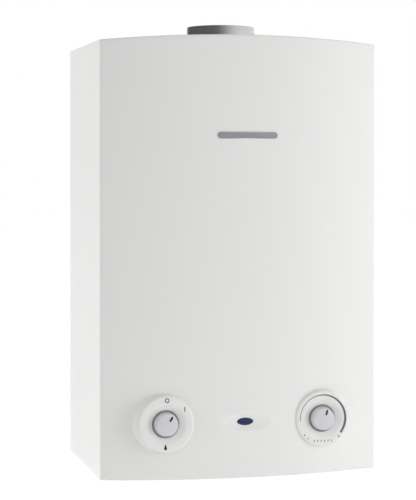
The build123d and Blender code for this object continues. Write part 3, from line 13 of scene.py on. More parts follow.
import bmesh
import bpy
import numpy as np
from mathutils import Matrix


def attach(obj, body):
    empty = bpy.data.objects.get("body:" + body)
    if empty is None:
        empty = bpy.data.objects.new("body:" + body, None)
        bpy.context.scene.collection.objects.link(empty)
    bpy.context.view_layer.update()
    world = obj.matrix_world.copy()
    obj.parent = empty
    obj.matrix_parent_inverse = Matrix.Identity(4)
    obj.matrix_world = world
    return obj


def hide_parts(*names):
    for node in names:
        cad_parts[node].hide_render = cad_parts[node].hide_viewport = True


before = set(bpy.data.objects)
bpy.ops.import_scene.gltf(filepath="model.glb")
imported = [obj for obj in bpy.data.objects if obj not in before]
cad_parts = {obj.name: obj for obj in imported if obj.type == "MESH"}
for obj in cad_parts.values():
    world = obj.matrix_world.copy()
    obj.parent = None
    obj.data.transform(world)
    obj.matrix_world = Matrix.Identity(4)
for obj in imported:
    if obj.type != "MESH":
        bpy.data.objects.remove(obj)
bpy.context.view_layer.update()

log = logging.getLogger("boiler")

MM = 0.001
BASE_HEIGHT = 530.0
# Points nearer to each other than this are one, in metres
MERGE_REACH = 2e-6
# Edges shorter than this are dissolved, in metres
FLAT_REACH = 1e-7
SHARP_DEGREES = 40.0
# Places nearer to each other than this are one, and nothing is divided by less
TINY = 1e-6
LEAST_ROUGHNESS = 0.02
WHITE = (1.0, 1.0, 1.0, 1.0)

Socket = bpy.types.NodeSocket
Tree = bpy.types.NodeTree
Piece = bpy.types.Object
# Points of the frame, and faces as indices into them
Mesh = tuple[np.ndarray, np.ndarray]
# The start, end and step of a stretch of places
Band = tuple[float, float, float]


def to_frame(x: np.ndarray, y: np.ndarray, h: np.ndarray) -> np.ndarray:
    """Turn millimetres of the object into points of the frame in metres, on a new last axis."""
    return np.stack(np.broadcast_arrays(x, y, np.asarray(h) - BASE_HEIGHT), axis=-1) * MM


def grid_faces(rows: int, columns: int, ring: bool = False) -> np.ndarray:
    """Number the quads between neighbouring points of a grid.

    Args:
        rows: How many rows of points there are.
        columns: How many points a row has.
        ring: Whether the last column joins the first.

    Returns:
        Quads as indices into the points row by row, turned so that the normal is the
        direction of the columns crossed with the direction of the rows.
    """
    row, column = np.meshgrid(
        np.arange(rows - 1), np.arange(columns if ring else columns - 1), indexing="ij"
    )
    right = (column + 1) % columns
    low, high = row * columns, (row + 1) * columns
    corners = (low + column, low + right, high + right, high + column)
    return np.stack(corners, axis=-1).reshape(-1, 4)


def joined(*grids: Mesh) -> Mesh:
    """Put several surfaces of points and faces into one.

    Args:
        grids: Pairs of points, of any leading shape, and faces.

    Returns:
        All points as one list and all faces with their indices moved on.
    """
    points, faces, start = [], [], 0
    for some_points, some_faces in grids:
        points.append(some_points.reshape(-1, 3))
        faces.append(some_faces + start)
        start += len(points[-1])
    return np.concatenate(points), np.concatenate(faces)


def add_object(name: str, data: bpy.types.ID) -> Piece:
    """Put a new object into the scene.

    Args:
        name: The object's name.
        data: Its mesh, lamp or camera.

    Returns:
        The new object.
    """
    made = bpy.data.objects.new(name, data)
    bpy.context.scene.collection.objects.link(made)
    return made


def make_piece(name: str, points: np.ndarray, faces: np.ndarray, closed: bool = True) -> Piece:
    """Make a mesh object of points and faces, with its doubles merged.

    Args:
        name: The piece's name.
        points: Points in the frame, in metres.
        faces: Quads as indices into the points.
        closed: Whether the surface is closed, so that its normals can be worked out.

    Returns:
        The new object, at the origin.
    """
    mesh = bpy.data.meshes.new(name)
    mesh.from_pydata(points.reshape(-1, 3).tolist(), [], faces.tolist())
    surface = bmesh.new()
    surface.from_mesh(mesh)
    bmesh.ops.remove_doubles(surface, verts=surface.verts, dist=MERGE_REACH)
    bmesh.ops.dissolve_degenerate(surface, edges=surface.edges, dist=FLAT_REACH)
    if closed:
        bmesh.ops.recalc_face_normals(surface, faces=surface.faces)
    surface.to_mesh(mesh)
    surface.free()
    mesh.shade_smooth()
    mesh.set_sharp_from_angle(angle=math.radians(SHARP_DEGREES))
    return add_object(name, mesh)


def full_turn(steps: int) -> np.ndarray:
    """Angles once round in radians, without the last, which is the first again."""
    return np.linspace(0.0, 2 * math.pi, steps, endpoint=False)


def turned(
    profile: np.ndarray, centre: tuple[float, float], steps: int = 128, upright: bool = False
) -> Mesh:
    """Carry a profile round an axis.

    A point at radius r and place p along the axis goes round by the angle a. It lies at
    x + r sin(a), y = p and h + r cos(a) where the axis points into the room, and at
    x + r cos(a), y + r sin(a) and h = p where it is upright.

    Args:
        profile: Radius and place along the axis, by point or by point and angle.
        centre: The axis's x and h, or its x and y where it is upright.
        steps: How many points go round.
        upright: Whether the axis is upright.

    Returns:
        Points of the frame by profile point and angle, and their faces.
    """
    angle = full_turn(steps)
    radius, along = np.moveaxis(profile if profile.ndim == 3 else profile[:, None], -1, 0)
    cosine, sine = radius * np.cos(angle), radius * np.sin(angle)
    if upright:
        points = to_frame(centre[0] + cosine, centre[1] + sine, along)
    else:
        points = to_frame(centre[0] + sine, along, centre[1] + cosine)
    return points, grid_faces(len(profile), steps, ring=True)


def arc(
    centre: tuple[float, float], radius: float, start: float, end: float, steps: int
) -> np.ndarray:
    """Points of an arc in a profile, with degrees from its first axis to its second."""
    angle = np.radians(np.linspace(start, end, steps))
    return np.asarray(centre) + radius * np.stack([np.cos(angle), np.sin(angle)], axis=-1)


def between(start: np.ndarray, end: np.ndarray, steps: int) -> np.ndarray:
    """Rows of values that lead from start, which is left out, to end, which is the last."""
    share = np.linspace(0.0, 1.0, steps + 1)[1:].reshape(-1, *[1] * end.ndim)
    return start * (1 - share) + end * share


def finer(low: float, high: float, coarse: float, bands: list[Band]) -> np.ndarray:
    """Places from low to high that lie closer together in some bands.

    Args:
        low: The first place.
        high: The last place.
        coarse: The step outside all bands.
        bands: The start, end and step of each band. A later one replaces an earlier one.

    Returns:
        Sorted places without doubles.
    """
    places = [np.linspace(low, high, max(2, round((high - low) / coarse) + 1))]
    for start, end, step in bands:
        places = [p[(p <= start - step / 2) | (p >= end + step / 2)] for p in places]
        places.append(np.linspace(start, end, max(2, round((end - start) / step) + 1)))
    places = np.unique(np.concatenate([*places, [low, high]]).clip(low, high))
    keep = np.concatenate([[True], np.diff(places) > TINY])
    return places[keep]


def soft_highest(a: np.ndarray, b: np.ndarray, width: float) -> np.ndarray:
    """The larger of two values, with a round change-over of a given width."""
    near = np.maximum(width - np.abs(a - b), 0.0) / width
    return np.maximum(a, b) + near ** 2 * width / 4


def arc_radius(half: float, rise: float) -> float:
    """Radius of an arc: half its chord squared plus its rise squared, over twice the rise."""
    return (half ** 2 + rise ** 2) / (2 * rise)


def linear(colour: str) -> tuple[float, float, float, float]:
    """Turn an sRGB colour, written as six hex digits, into linear values with alpha."""
    parts = (int(colour[i : i + 2], 16) / 255 for i in (0, 2, 4))
    return (*(p / 12.92 if p <= 0.04045 else ((p + 0.055) / 1.055) ** 2.4 for p in parts), 1.0)


def add_node(
    tree: Tree, kind: str, inputs: dict[str | int, object] | None = None, **settings: object
) -> bpy.types.Node:
    """Add a node with its settings, values and links.

    Args:
        tree: The node tree.
        kind: The node's type, without the ShaderNode that all of them start with.
        inputs: For an input's name or number, a value or the output it is linked to.
        settings: The node's own properties.

    Returns:
        The new node.
    """
    node = tree.nodes.new(f"ShaderNode{kind}")
    for name, value in settings.items():
        setattr(node, name, value)
    for name, value in (inputs or {}).items():
        if isinstance(value, Socket):
            tree.links.new(value, node.inputs[name])
        else:
            node.inputs[name].default_value = value
    return node


def mixed(tree: Tree, share: object, first: object, second: object) -> Socket:
    """Mix two colours by the second one's share, each of them a value or an output."""
    inputs = {0: share, 6: first, 7: second}
    return add_node(tree, "Mix", inputs, data_type="RGBA").outputs[2]


def noise(tree: Tree, place: Socket, size: float, detail: float, roughness: float) -> Socket:
    """Noise with waves of about a size in millimetres."""
    waves = {"Vector": place, "Scale": 1.0 / (size * MM), "Detail": detail, "Roughness": roughness}
    return add_node(tree, "TexNoise", waves).outputs["Fac"]


def empty_tree(owner: bpy.types.Material | bpy.types.World) -> Tree:
    """Clear the node tree of a material or a world.

    Args:
        owner: The material or world.

    Returns:
        Its tree, without nodes.
    """
    owner.use_nodes = True
    owner.node_tree.nodes.clear()
    return owner.node_tree


class Relief(Enum):
    """The form of a surface's finest relief."""

    PEEL = "rounded waves of a coating that flowed as it set"
    SPARK = "fine pits that a spark-eroded mould leaves"
    SAND = "grains that a sand mould leaves"
    DRAWN = "lines along the way a tube or sheet was drawn"
    SPANGLE = "flat crystals of zinc"
    FIBRE = "short crossed fibres"


@dataclass(frozen=True)
class Finish:
    """A surface as it was made: two tones of colour, gloss and relief.

    The roughness varies by the spread. The relief's grain and depth, and the patches in which
    tone and gloss vary, are real sizes in millimetres. stretch makes the pattern longer along
    an axis: 0.1 along Z draws it ten times as long there.
    """

    name: str
    colour: str
    shade: str
    roughness: float
    spread: float
    relief: Relief = Relief.SPARK
    grain: float = 0.6
    depth: float = 0.01
    patch: float = 60.0
    stretch: tuple[float, float, float] = (1.0, 1.0, 1.0)
    metallic: float = 0.0
    ior: float = 1.5
    coat: float = 0.0
    coat_roughness: float = 0.05
    transmission: float = 0.0

    def cells(self, tree: Tree, place: Socket, feature: str) -> bpy.types.Node:
        """Cells as large as the grain."""
        size = {"Vector": place, "Scale": 1.0 / (self.grain * MM)}
        return add_node(tree, "TexVoronoi", size, feature=feature)

    def height(self, tree: Tree, place: Socket) -> Socket:
        """Add the relief's nodes.

        Args:
            tree: The material's node tree.
            place: Object coordinates, stretched.

        Returns:
            The output with the height from 0 to 1.
        """
        if self.relief in (Relief.SPANGLE, Relief.SAND):
            feature = "F1" if self.relief is Relief.SPANGLE else "SMOOTH_F1"
            return self.cells(tree, place, feature).outputs["Distance"]
        detail = {Relief.PEEL: 0.0, Relief.SPARK: 3.0, Relief.DRAWN: 2.0, Relief.FIBRE: 4.0}
        return noise(tree, place, self.grain, detail[self.relief], roughness=0.5)

    def variation(self, tree: Tree, place: Socket) -> Socket:
        """Add the slow change of colour and gloss over the surface.

        Args:
            tree: The material's node tree.
            place: Object coordinates, stretched.

        Returns:
            The output with the share of the second colour.
        """
        if self.relief is Relief.SPANGLE:
            crystals = self.cells(tree, place, "F1").outputs["Color"]
            return add_node(tree, "SeparateColor", {0: crystals}).outputs[0]
        return noise(tree, place, self.patch, detail=3.0, roughness=0.55)

    def colours(self, tree: Tree, place: Socket, share: Socket) -> Socket:
        """Mix the two tones by the share of the second, alike at every place."""
        return mixed(tree, share, linear(self.colour), linear(self.shade))

    def build(self) -> bpy.types.Material:
        """Make the material, if it isn't there yet. It reads Object coordinates alone.

        Returns:
            The material.
        """
        found = bpy.data.materials.get(self.name)
        if found is not None:
            return found
        material = bpy.data.materials.new(self.name)
        tree = empty_tree(material)
        place = add_node(tree, "TexCoord").outputs["Object"]
        mapping = add_node(tree, "Mapping", {"Vector": place, "Scale": self.stretch})
        drawn = mapping.outputs["Vector"]
        share = self.variation(tree, drawn)
        gloss = add_node(tree, "MapRange", {
            "Value": share,
            "To Min": max(LEAST_ROUGHNESS, self.roughness - self.spread),
            "To Max": min(1.0, self.roughness + self.spread),
        })
        bump = add_node(tree, "Bump", {
            "Height": self.height(tree, drawn), "Strength": 1.0, "Distance": self.depth * MM,
        })
        shader = add_node(tree, "BsdfPrincipled", {
            "Base Color": self.colours(tree, place, share),
            "Roughness": gloss.outputs["Result"],
            "Normal": bump.outputs["Normal"],
            "Metallic": self.metallic,
            "IOR": self.ior,
            "Coat Weight": self.coat,
            "Coat Roughness": self.coat_roughness,
            "Transmission Weight": self.transmission,
        })
        add_node(tree, "OutputMaterial", {"Surface": shader.outputs["BSDF"]})
        return material


@dataclass(frozen=True)
class TwoInks(Finish):
    """Printed marks in one ink to the left of the middle and another to its right."""

    right: str = "6B6C70"
    cover: float = 0.85

    def colours(self, tree: Tree, place: Socket, share: Socket) -> Socket:
        """Choose the ink by the side of the middle that a mark is on, and wear it a little.

        Args:
            tree: The material's node tree.
            place: Object coordinates.
            share: The share of the slow variation.

        Returns:
            The output with the ink's colour.
        """
        x = add_node(tree, "SeparateXYZ", {0: place}).outputs["X"]
        side = add_node(tree, "Math", {0: x, 1: 0.0}, operation="GREATER_THAN")
        ink = mixed(tree, side.outputs[0], linear(self.colour), linear(self.right))
        worn = mixed(tree, share, ink, linear(self.shade))
        return mixed(tree, self.cover, worn, ink)


# Zinc-plated sheet steel: crystals of zinc a few millimetres wide, each with its own gloss
ZINC_SHEET = Finish(
    "zinc_plated_steel", "A9ADB1", "8F9499", 0.38, 0.10, Relief.SPANGLE,
    grain=6.0, depth=0.02, metallic=1.0,
)
# Hot-dip galvanised plate: larger crystals
GALVANISED = Finish(
    "galvanised_steel", "A4A8AB", "84898D", 0.42, 0.12, Relief.SPANGLE,
    grain=11.0, depth=0.03, metallic=1.0,
)
# Powder coating baked on steel: semi-gloss with low rounded waves a few millimetres apart
ENAMEL = Finish(
    "powder_coated_steel", "F0F0EF", "EEEEED", 0.34, 0.02, Relief.PEEL,
    grain=2.6, depth=0.006, patch=160.0,
)
# Moulded ABS: a satin skin with the fine pits of a spark-eroded mould
SURROUND = Finish(
    "moulded_white_abs", "EFEFED", "ECECEA", 0.40, 0.03, grain=0.5, depth=0.008, patch=30.0
)
# ABS sprayed with a silver lacquer: flakes give a soft sheen
KNOB_SILVER = Finish(
    "silver_lacquered_abs", "E0DFE3", "DAD9DE", 0.36, 0.05,
    grain=0.3, depth=0.006, patch=5.0, metallic=0.12, coat=0.2,
)
# Polypropylene trim ring; its dark grey is partly painted shade and painted reflection of the gap
# and bevel round the knob's base
RING_PAINTED_SHADE = Finish(
    "trim_ring_painted_shade", "9A9B9E", "8E8F92", 0.30, 0.05, grain=0.4, depth=0.006, patch=12.0
)
# Black nylon, moulded, slightly glossy
NYLON_BLACK = Finish(
    "moulded_black_nylon", "1D1E20", "262729", 0.42, 0.08, grain=0.9, depth=0.015, patch=35.0
)
# Grey glass-filled plastic
PLASTIC_GREY = Finish(
    "moulded_grey_plastic", "77797C", "6B6D71", 0.48, 0.08, grain=0.9, depth=0.02, patch=35.0
)
# Pad-printed ink: matt, a few hundredths of a millimetre thick
PRINT_INK = TwoInks(
    "pad_printed_ink", "1A1B1D", "2A2B2D", 0.5, 0.05, grain=0.3, depth=0.004, patch=3.0
)
# Blue tinted polycarbonate, moulded glossy
LENS_BLUE = Finish(
    "blue_polycarbonate", "14285E", "10204C", 0.14, 0.04, Relief.PEEL,
    grain=1.6, depth=0.01, patch=4.0, ior=1.58, coat=0.3, transmission=0.06,
)
# Clear acrylic light guide
ACRYLIC = Finish(
    "clear_acrylic", "F2F6F8", "E9EFF2", 0.08, 0.03, Relief.PEEL,
    grain=2.0, depth=0.004, patch=10.0, ior=1.49, transmission=0.85,
)
# Satin foil on a moulded badge
BADGE_FOIL = Finish(
    "satin_silver_foil", "B4B6BB", "A4A6AC", 0.32, 0.06, Relief.DRAWN,
    grain=0.5, depth=0.004, patch=12.0, stretch=(0.05, 1.0, 1.0), metallic=0.8,
)
# Sand-cast aluminium: matt, grainy skin
CAST_ALUMINIUM = Finish(
    "cast_aluminium", "A2A4A6", "8C8F92", 0.52, 0.10, Relief.SAND,
    grain=1.4, depth=0.12, patch=50.0, metallic=1.0,
)
# Stainless steel, drawn: fine lines and a clean gloss
STAINLESS = Finish(
    "drawn_stainless_steel", "B5B6B8", "A2A4A7", 0.28, 0.08, Relief.DRAWN,
    grain=0.5, depth=0.006, patch=25.0, stretch=(1.0, 1.0, 0.06), metallic=1.0,
)
# Bright rolled steel collar: lines run round it, so they are short in height
COLLAR_STEEL = Finish(
    "bright_rolled_steel", "CDCED0", "BBBCBF", 0.24, 0.07, Relief.DRAWN,
    grain=0.5, depth=0.006, patch=18.0, stretch=(0.05, 0.05, 1.0), metallic=1.0,
)
# Forged and machined brass
BRASS = Finish(
    "machined_brass", "C9A557", "B08D43", 0.30, 0.08, Relief.DRAWN,
    grain=0.5, depth=0.01, patch=16.0, stretch=(0.1, 0.1, 1.0), metallic=1.0,
)
# Drawn copper tube, a little darkened by handling
COPPER = Finish(
    "drawn_copper", "C77F5A", "A5603F", 0.30, 0.10, Relief.DRAWN,
    grain=0.8, depth=0.008, patch=28.0, stretch=(1.0, 1.0, 0.12), metallic=1.0,
)
# Moulded rubber
RUBBER = Finish(
    "moulded_rubber", "232426", "2E2F31", 0.72, 0.08, grain=0.8, depth=0.03, patch=20.0
)
# Pressed fibre and silicone seals
SEAL = Finish(
    "pressed_fibre_seal", "8C8C88", "777774", 0.85, 0.06, Relief.FIBRE,
    grain=0.9, depth=0.05, patch=12.0,
)
# Glass-fibre circuit board with a green resist
BOARD = Finish(
    "green_circuit_board", "1F5B3A", "2B7148", 0.36, 0.08, Relief.FIBRE,
    grain=1.2, depth=0.02, patch=9.0, stretch=(1.0, 1.0, 0.25),
)
# Extruded white polypropylene duct
DUCT_WHITE = Finish(
    "extruded_white_polypropylene", "DEDEDA", "D3D3CE", 0.42, 0.05, Relief.DRAWN,
    grain=1.5, depth=0.012, patch=45.0, stretch=(1.0, 1.0, 0.1),
)
# Sintered alumina
CERAMIC = Finish(
    "sintered_ceramic", "E6E1D6", "D9D2C4", 0.38, 0.06, grain=0.5, depth=0.012, patch=8.0
)
# Yellow vinyl sleeve on the lever
LEVER_VINYL = Finish(
    "dipped_yellow_vinyl", "D9A814", "CC9A0E", 0.34, 0.06, Relief.PEEL,
    grain=3.0, depth=0.03, patch=14.0, coat=0.2,
)
# Braided glass sleeve on the leads
LEAD_SLEEVE = Finish(
    "braided_lead_sleeve", "5A5C60", "46484C", 0.6, 0.08, Relief.FIBRE,
    grain=1.0, depth=0.06, patch=6.0,
)


def dress(finish: Finish, *nodes: str) -> None:
    """Give CAD nodes a finish in their own material slots.

    Args:
        finish: The finish.
        nodes: The nodes' names.
    """
    for name in nodes:
        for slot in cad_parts[name].material_slots:
            slot.material = finish.build()
        log.info("dressed %s in %s", name, finish.name)


def settle(piece: Piece, finish: Finish, body: str, slot: str, *nodes: str) -> None:
    """Finish a new piece: its material, its body and what it stands for.

    Args:
        piece: The piece, in place.
        finish: Its finish.
        body: The body that it rides on.
        slot: The record's material slot; not used.
        nodes: The CAD nodes that it stands for.
    """
    piece.data.materials.clear()
    piece.data.materials.append(finish.build())
    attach(piece, body)
    if nodes:
        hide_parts(*nodes)
    log.info("built %s on %s", piece.name, body)


@dataclass
class Case:
    """Powder-coated shell: one folded sheet with a bowed front, a crown and a lamp scoop."""

    width: float = 390.0
    side_depth: float = 240.0
    bow: float = 30.0
    side_height: float = 592.0
    crown: float = 8.0
    wall: float = 1.2
    corner: float = 3.0
    rear_gap: float = 1.0
    lip: float = 14.0
    top_strip: float = 25.0
    top_front: float = 45.0
    top_round: float = 2.0
    low_round: float = 1.5
    tab_width: float = 28.0
    tab_gap: float = 0.01
    tab_step: float = 2.0
    screw_x: float = 150.0
    screw_y: float = -222.0
    slot_radius: float = 2.45
    slot_step: float = 0.3
    dial_x: float = 110.0
    dial_height: float = 76.2
    dial_hole: float = 30.3
    hole_margin: float = 3.2
    hole_step: float = 2.0
    lens_hole: tuple[float, float] = (11.4, 5.1)
    scoop_length: float = 82.0
    scoop_height: float = 25.0
    scoop_depth: float = 4.0
    scoop_blend: float = 1.0
    scoop_margins: tuple[float, float] = (5.0, 4.0)
    coarse: float = 13.0
    fine: float = 1.6
    side_steps: int = 16
    corner_steps: int = 7
    fold_steps: int = 6
    top_steps: int = 5

    @property
    def half(self) -> float:
        """Half the width."""
        return self.width / 2

    @property
    def depth(self) -> float:
        """Depth at the middle of the bow."""
        return self.side_depth + self.bow

    @property
    def bow_radius(self) -> float:
        """Radius of the front's bow."""
        return arc_radius(self.half, self.bow)

    @property
    def bow_centre(self) -> float:
        """Y of the bow's centre."""
        return self.bow_radius - self.depth

    def front_y(self, x: np.ndarray, inset: float = 0.0) -> np.ndarray:
        """Y of the front at x: the bow's circle, taken in by inset."""
        return self.bow_centre - np.sqrt((self.bow_radius - inset) ** 2 - np.square(x))

    def crown_h(self, x: np.ndarray) -> np.ndarray:
        """Height of the arched top at x: a circle through the crown and both sides."""
        radius = arc_radius(self.half, self.crown)
        return self.side_height + self.crown - radius + np.sqrt(radius ** 2 - np.square(x))

    def scoop_y(self, x: np.ndarray, h: np.ndarray) -> np.ndarray:
        """Y of the lamp scoop.

        The scoop is the inner side of a barrel along X: its radius at x is that of a long
        arc, and across it lies a circle of that radius.

        Args:
            x: Places along the barrel.
            h: Heights.

        Returns:
            The scoop's y at each.
        """
        long_radius = arc_radius(self.scoop_length / 2, self.scoop_depth)
        short_radius = arc_radius(self.scoop_height / 2, self.scoop_depth)
        sag = long_radius - np.sqrt(np.maximum(long_radius ** 2 - np.square(x), 0.0))
        radius = np.maximum(short_radius - sag, 0.0)
        rise = np.maximum(np.square(radius) - np.square(h - self.dial_height), 0.0)
        return self.scoop_depth - self.depth - short_radius + np.sqrt(rise)

    def panel_y(self, x: np.ndarray, h: np.ndarray) -> np.ndarray:
        """Y of the front panel with its scoop, the two blended by a soft edge."""
        front, scoop = np.broadcast_arrays(self.front_y(x), self.scoop_y(x, h))
        return soft_highest(front, scoop, self.scoop_blend)

    def bands(self, dials: tuple[float, ...], scoop: float, reach: float) -> list[Band]:
        """Stretches where the panel's grid is finer: round the dial holes and the scoop.

        Args:
            dials: The middles of the dial holes.
            scoop: The scoop's middle.
            reach: How far the fine grid reaches from there.

        Returns:
            The start, end and step of each stretch.
        """
        dial = self.dial_hole + self.hole_margin
        holes = [(middle - dial, middle + dial, self.hole_step) for middle in dials]
        return [*holes, (scoop - reach, scoop + reach, self.fine)]

    def plan(self) -> tuple[np.ndarray, np.ndarray, np.ndarray]:
        """Outline of the case seen from above, from its rear left to its rear right edge.

        Two straight sides, two corner arcs that touch them and the bow, and the bow.

        Returns:
            The points, the inward directions, and which points are on the bow.
        """
        centre_x = self.corner - self.half
        centre_y = self.bow_centre - math.sqrt((self.bow_radius - self.corner) ** 2 - centre_x ** 2)
        turn = math.degrees(math.atan2(centre_y - self.bow_centre, centre_x)) + 360.0
        side_y = np.linspace(-self.rear_gap, centre_y, self.side_steps)[:-1]
        side = np.stack(np.broadcast_arrays(-self.half, side_y), axis=-1)
        bend = arc((centre_x, centre_y), self.corner, 180.0, turn, self.corner_steps)
        end = -bend[-1, 0]
        scoop = self.scoop_length / 2 + self.scoop_margins[0]
        x = finer(-end, end, self.coarse, self.bands((-self.dial_x, self.dial_x), 0.0, scoop))
        bow = np.stack([x, self.front_y(x)], axis=-1)[1:-1]
        left = np.concatenate([side, bend])
        inward_side = np.broadcast_to([1.0, 0.0], side.shape)
        inward_bend = (np.array([centre_x, centre_y]) - bend) / self.corner
        inward_bow = (np.array([0.0, self.bow_centre]) - bow) / self.bow_radius
        inward_left = np.concatenate([inward_side, inward_bend])
        mirror = np.array([-1.0, 1.0])
        points = np.concatenate([left, bow, left[::-1] * mirror])
        inward = np.concatenate([inward_left, inward_bow, inward_left[::-1] * mirror])
        on_bow = np.zeros(len(points), bool)
        on_bow[len(left) : len(left) + len(bow)] = True
        return points, inward, on_bow

    def inner_edge(self, points: np.ndarray) -> np.ndarray:
        """Inner edge of the folded top: a straight-sided opening towards the wall."""
        reach, front = self.half - self.top_strip, self.top_front - self.depth
        return np.column_stack([points[:, 0].clip(-reach, reach), np.maximum(points[:, 1], front)])

    def lip_edge(self, points: np.ndarray, on_bow: np.ndarray) -> np.ndarray:
        """Inner edge of the folded bottom: the outline, taken in by the lip.

        Args:
            points: The outline.
            on_bow: Which of its points are on the bow.

        Returns:
            A point of the edge for each point of the outline.
        """
        reach = self.half - self.lip
        shrink = (self.bow_radius - self.lip) / self.bow_radius
        x = np.where(on_bow, points[:, 0] * shrink, points[:, 0]).clip(-reach, reach)
        corner_y = self.front_y(np.array(reach), self.lip)
        y = np.where(on_bow, self.front_y(x, self.lip), np.maximum(points[:, 1], corner_y))
        return np.column_stack([x, y])

    def open_holes(
        self, x: np.ndarray, h: np.ndarray, where: np.ndarray
    ) -> tuple[np.ndarray, np.ndarray, np.ndarray]:
        """Cut the dial holes and the lamp hole into a grid of the panel.

        A quad whose four corners lie in a hole goes. In a quad that the hole's edge
        crosses, the corners inside are pushed out to the edge, along its radius.

        Args:
            x: X of each grid point.
            h: Height of each grid point.
            where: Which grid points are on the panel.

        Returns:
            The moved x and h, and which quads stay.
        """
        keep = np.ones((x.shape[0] - 1, x.shape[1] - 1), bool)
        near_far = (slice(None, -1), slice(1, None))
        corners = [(rows, columns) for rows in near_far for columns in near_far]
        for centre_x, half_x, half_h in (
            (-self.dial_x, self.dial_hole, self.dial_hole),
            (self.dial_x, self.dial_hole, self.dial_hole),
            (0.0, *self.lens_hole),
        ):
            reach = np.hypot((x - centre_x) / half_x, (h - self.dial_height) / half_h)
            inside = (reach < 1.0) & where
            count = sum(inside[corner].astype(int) for corner in corners)
            crossed = (count > 0) & (count < len(corners))
            touched = np.zeros_like(inside)
            for corner in corners:
                touched[corner] |= crossed
            factor = np.where(inside & touched, 1.0 / np.maximum(reach, TINY), 1.0)
            x = centre_x + (x - centre_x) * factor
            h = self.dial_height + (h - self.dial_height) * factor
            keep &= count < len(corners)
        return x, h, keep

    def skin(self) -> Mesh:
        """Outer side of the shell, as one grid of rows that go up the outline.

        The rows run along the bottom lip, round the fold, up the wall, round the fold of
        the top and in along the top. The folds are quarter circles; the top follows the
        crown.

        Returns:
            Points and faces.
        """
        points, inward, on_bow = self.plan()
        (x, y), (in_x, in_y) = points.T, inward.T
        lip_x, lip_y = self.lip_edge(points, on_bow).T
        edge_x, edge_y = self.inner_edge(points).T
        fold = np.radians(np.linspace(0.0, 90.0, self.fold_steps))[:, None]
        rows: list[np.ndarray] = []

        def add(x: np.ndarray, y: np.ndarray, h: np.ndarray) -> None:
            """Keep rows of points."""
            rows.append(np.stack(np.broadcast_arrays(x, y, h)))

        add(lip_x, lip_y, np.zeros((1, 1)))
        start_x, start_y = x + in_x * self.low_round, y + in_y * self.low_round
        add(between(lip_x, start_x, 2)[:1], between(lip_y, start_y, 2)[:1], np.zeros((1, 1)))
        low_in = self.low_round * (1 - np.sin(fold))
        add(x + in_x * low_in, y + in_y * low_in, self.low_round * (1 - np.cos(fold)))
        scoop = self.scoop_height / 2 + self.scoop_margins[1]
        wall_bands = self.bands((self.dial_height,), self.dial_height, scoop)
        wall_high = self.side_height - self.coarse
        wall_h = finer(self.low_round, wall_high, self.coarse, wall_bands)[1:, None]
        first_wall = sum(row.shape[1] for row in rows)
        last_wall = first_wall + len(wall_h)
        add(x, y, wall_h)
        add(x, y, between(wall_h[-1], self.crown_h(x) - self.top_round, 2))
        high_in = self.top_round * (1 - np.cos(fold[1:]))
        over_x, over_y = x + in_x * high_in, y + in_y * high_in
        add(over_x, over_y, self.crown_h(over_x) - self.top_round * (1 - np.sin(fold[1:])))
        top_x = between(over_x[-1], edge_x, self.top_steps)
        add(top_x, between(over_y[-1], edge_y, self.top_steps), self.crown_h(top_x))
        x, y, h = np.concatenate(rows, axis=1)
        panel = np.zeros(x.shape, bool)
        panel[first_wall:last_wall] = on_bow
        x, h, keep = self.open_holes(x, h, panel)
        y = np.where(panel, self.panel_y(np.where(panel, x, 0.0), h), y)
        return to_frame(x, y, h), grid_faces(*x.shape)[keep.reshape(-1)]

    def tabs(self) -> Mesh:
        """Two tabs on the bottom lip, each with a slot that is open to the rear.

        Each half of a tab is a grid from the slot's side to the tab's side: the slot is a
        half circle round the screw, then straight.

        Returns:
            Points and faces.
        """
        rear = self.screw_y + self.tab_width / 2
        front = float(self.front_y(np.array(self.screw_x), self.lip)) + self.tab_gap
        round_slot = (self.screw_y - self.slot_radius, self.screw_y, self.slot_step)
        y = finer(front, rear, self.tab_step, [round_slot])
        bulge = np.sqrt(np.maximum(self.slot_radius ** 2 - (y - self.screw_y) ** 2, 0.0))
        slot = np.where(y > self.screw_y, self.slot_radius, bulge)
        share = np.linspace(0.0, 1.0, 5)[:, None]
        reach = slot * (1 - share) + self.tab_width / 2 * share
        faces = grid_faces(*reach.shape)
        return joined(*(
            (to_frame(middle + side * reach, y, np.zeros_like(reach)), faces[:, ::int(side)])
            for middle in (-self.screw_x, self.screw_x) for side in (-1.0, 1.0)
        ))

    def build(self) -> None:
        """Build the shell and give it its thickness inwards."""
        shell = make_piece("case_shell", *joined(self.skin(), self.tabs()), closed=False)
        sheet = shell.modifiers.new("sheet", "SOLIDIFY")
        sheet.thickness = self.wall * MM
        sheet.offset = -1.0
        sheet.use_even_offset = True
        settle(shell, ENAMEL, "case", "white_enamel", "outer_case")


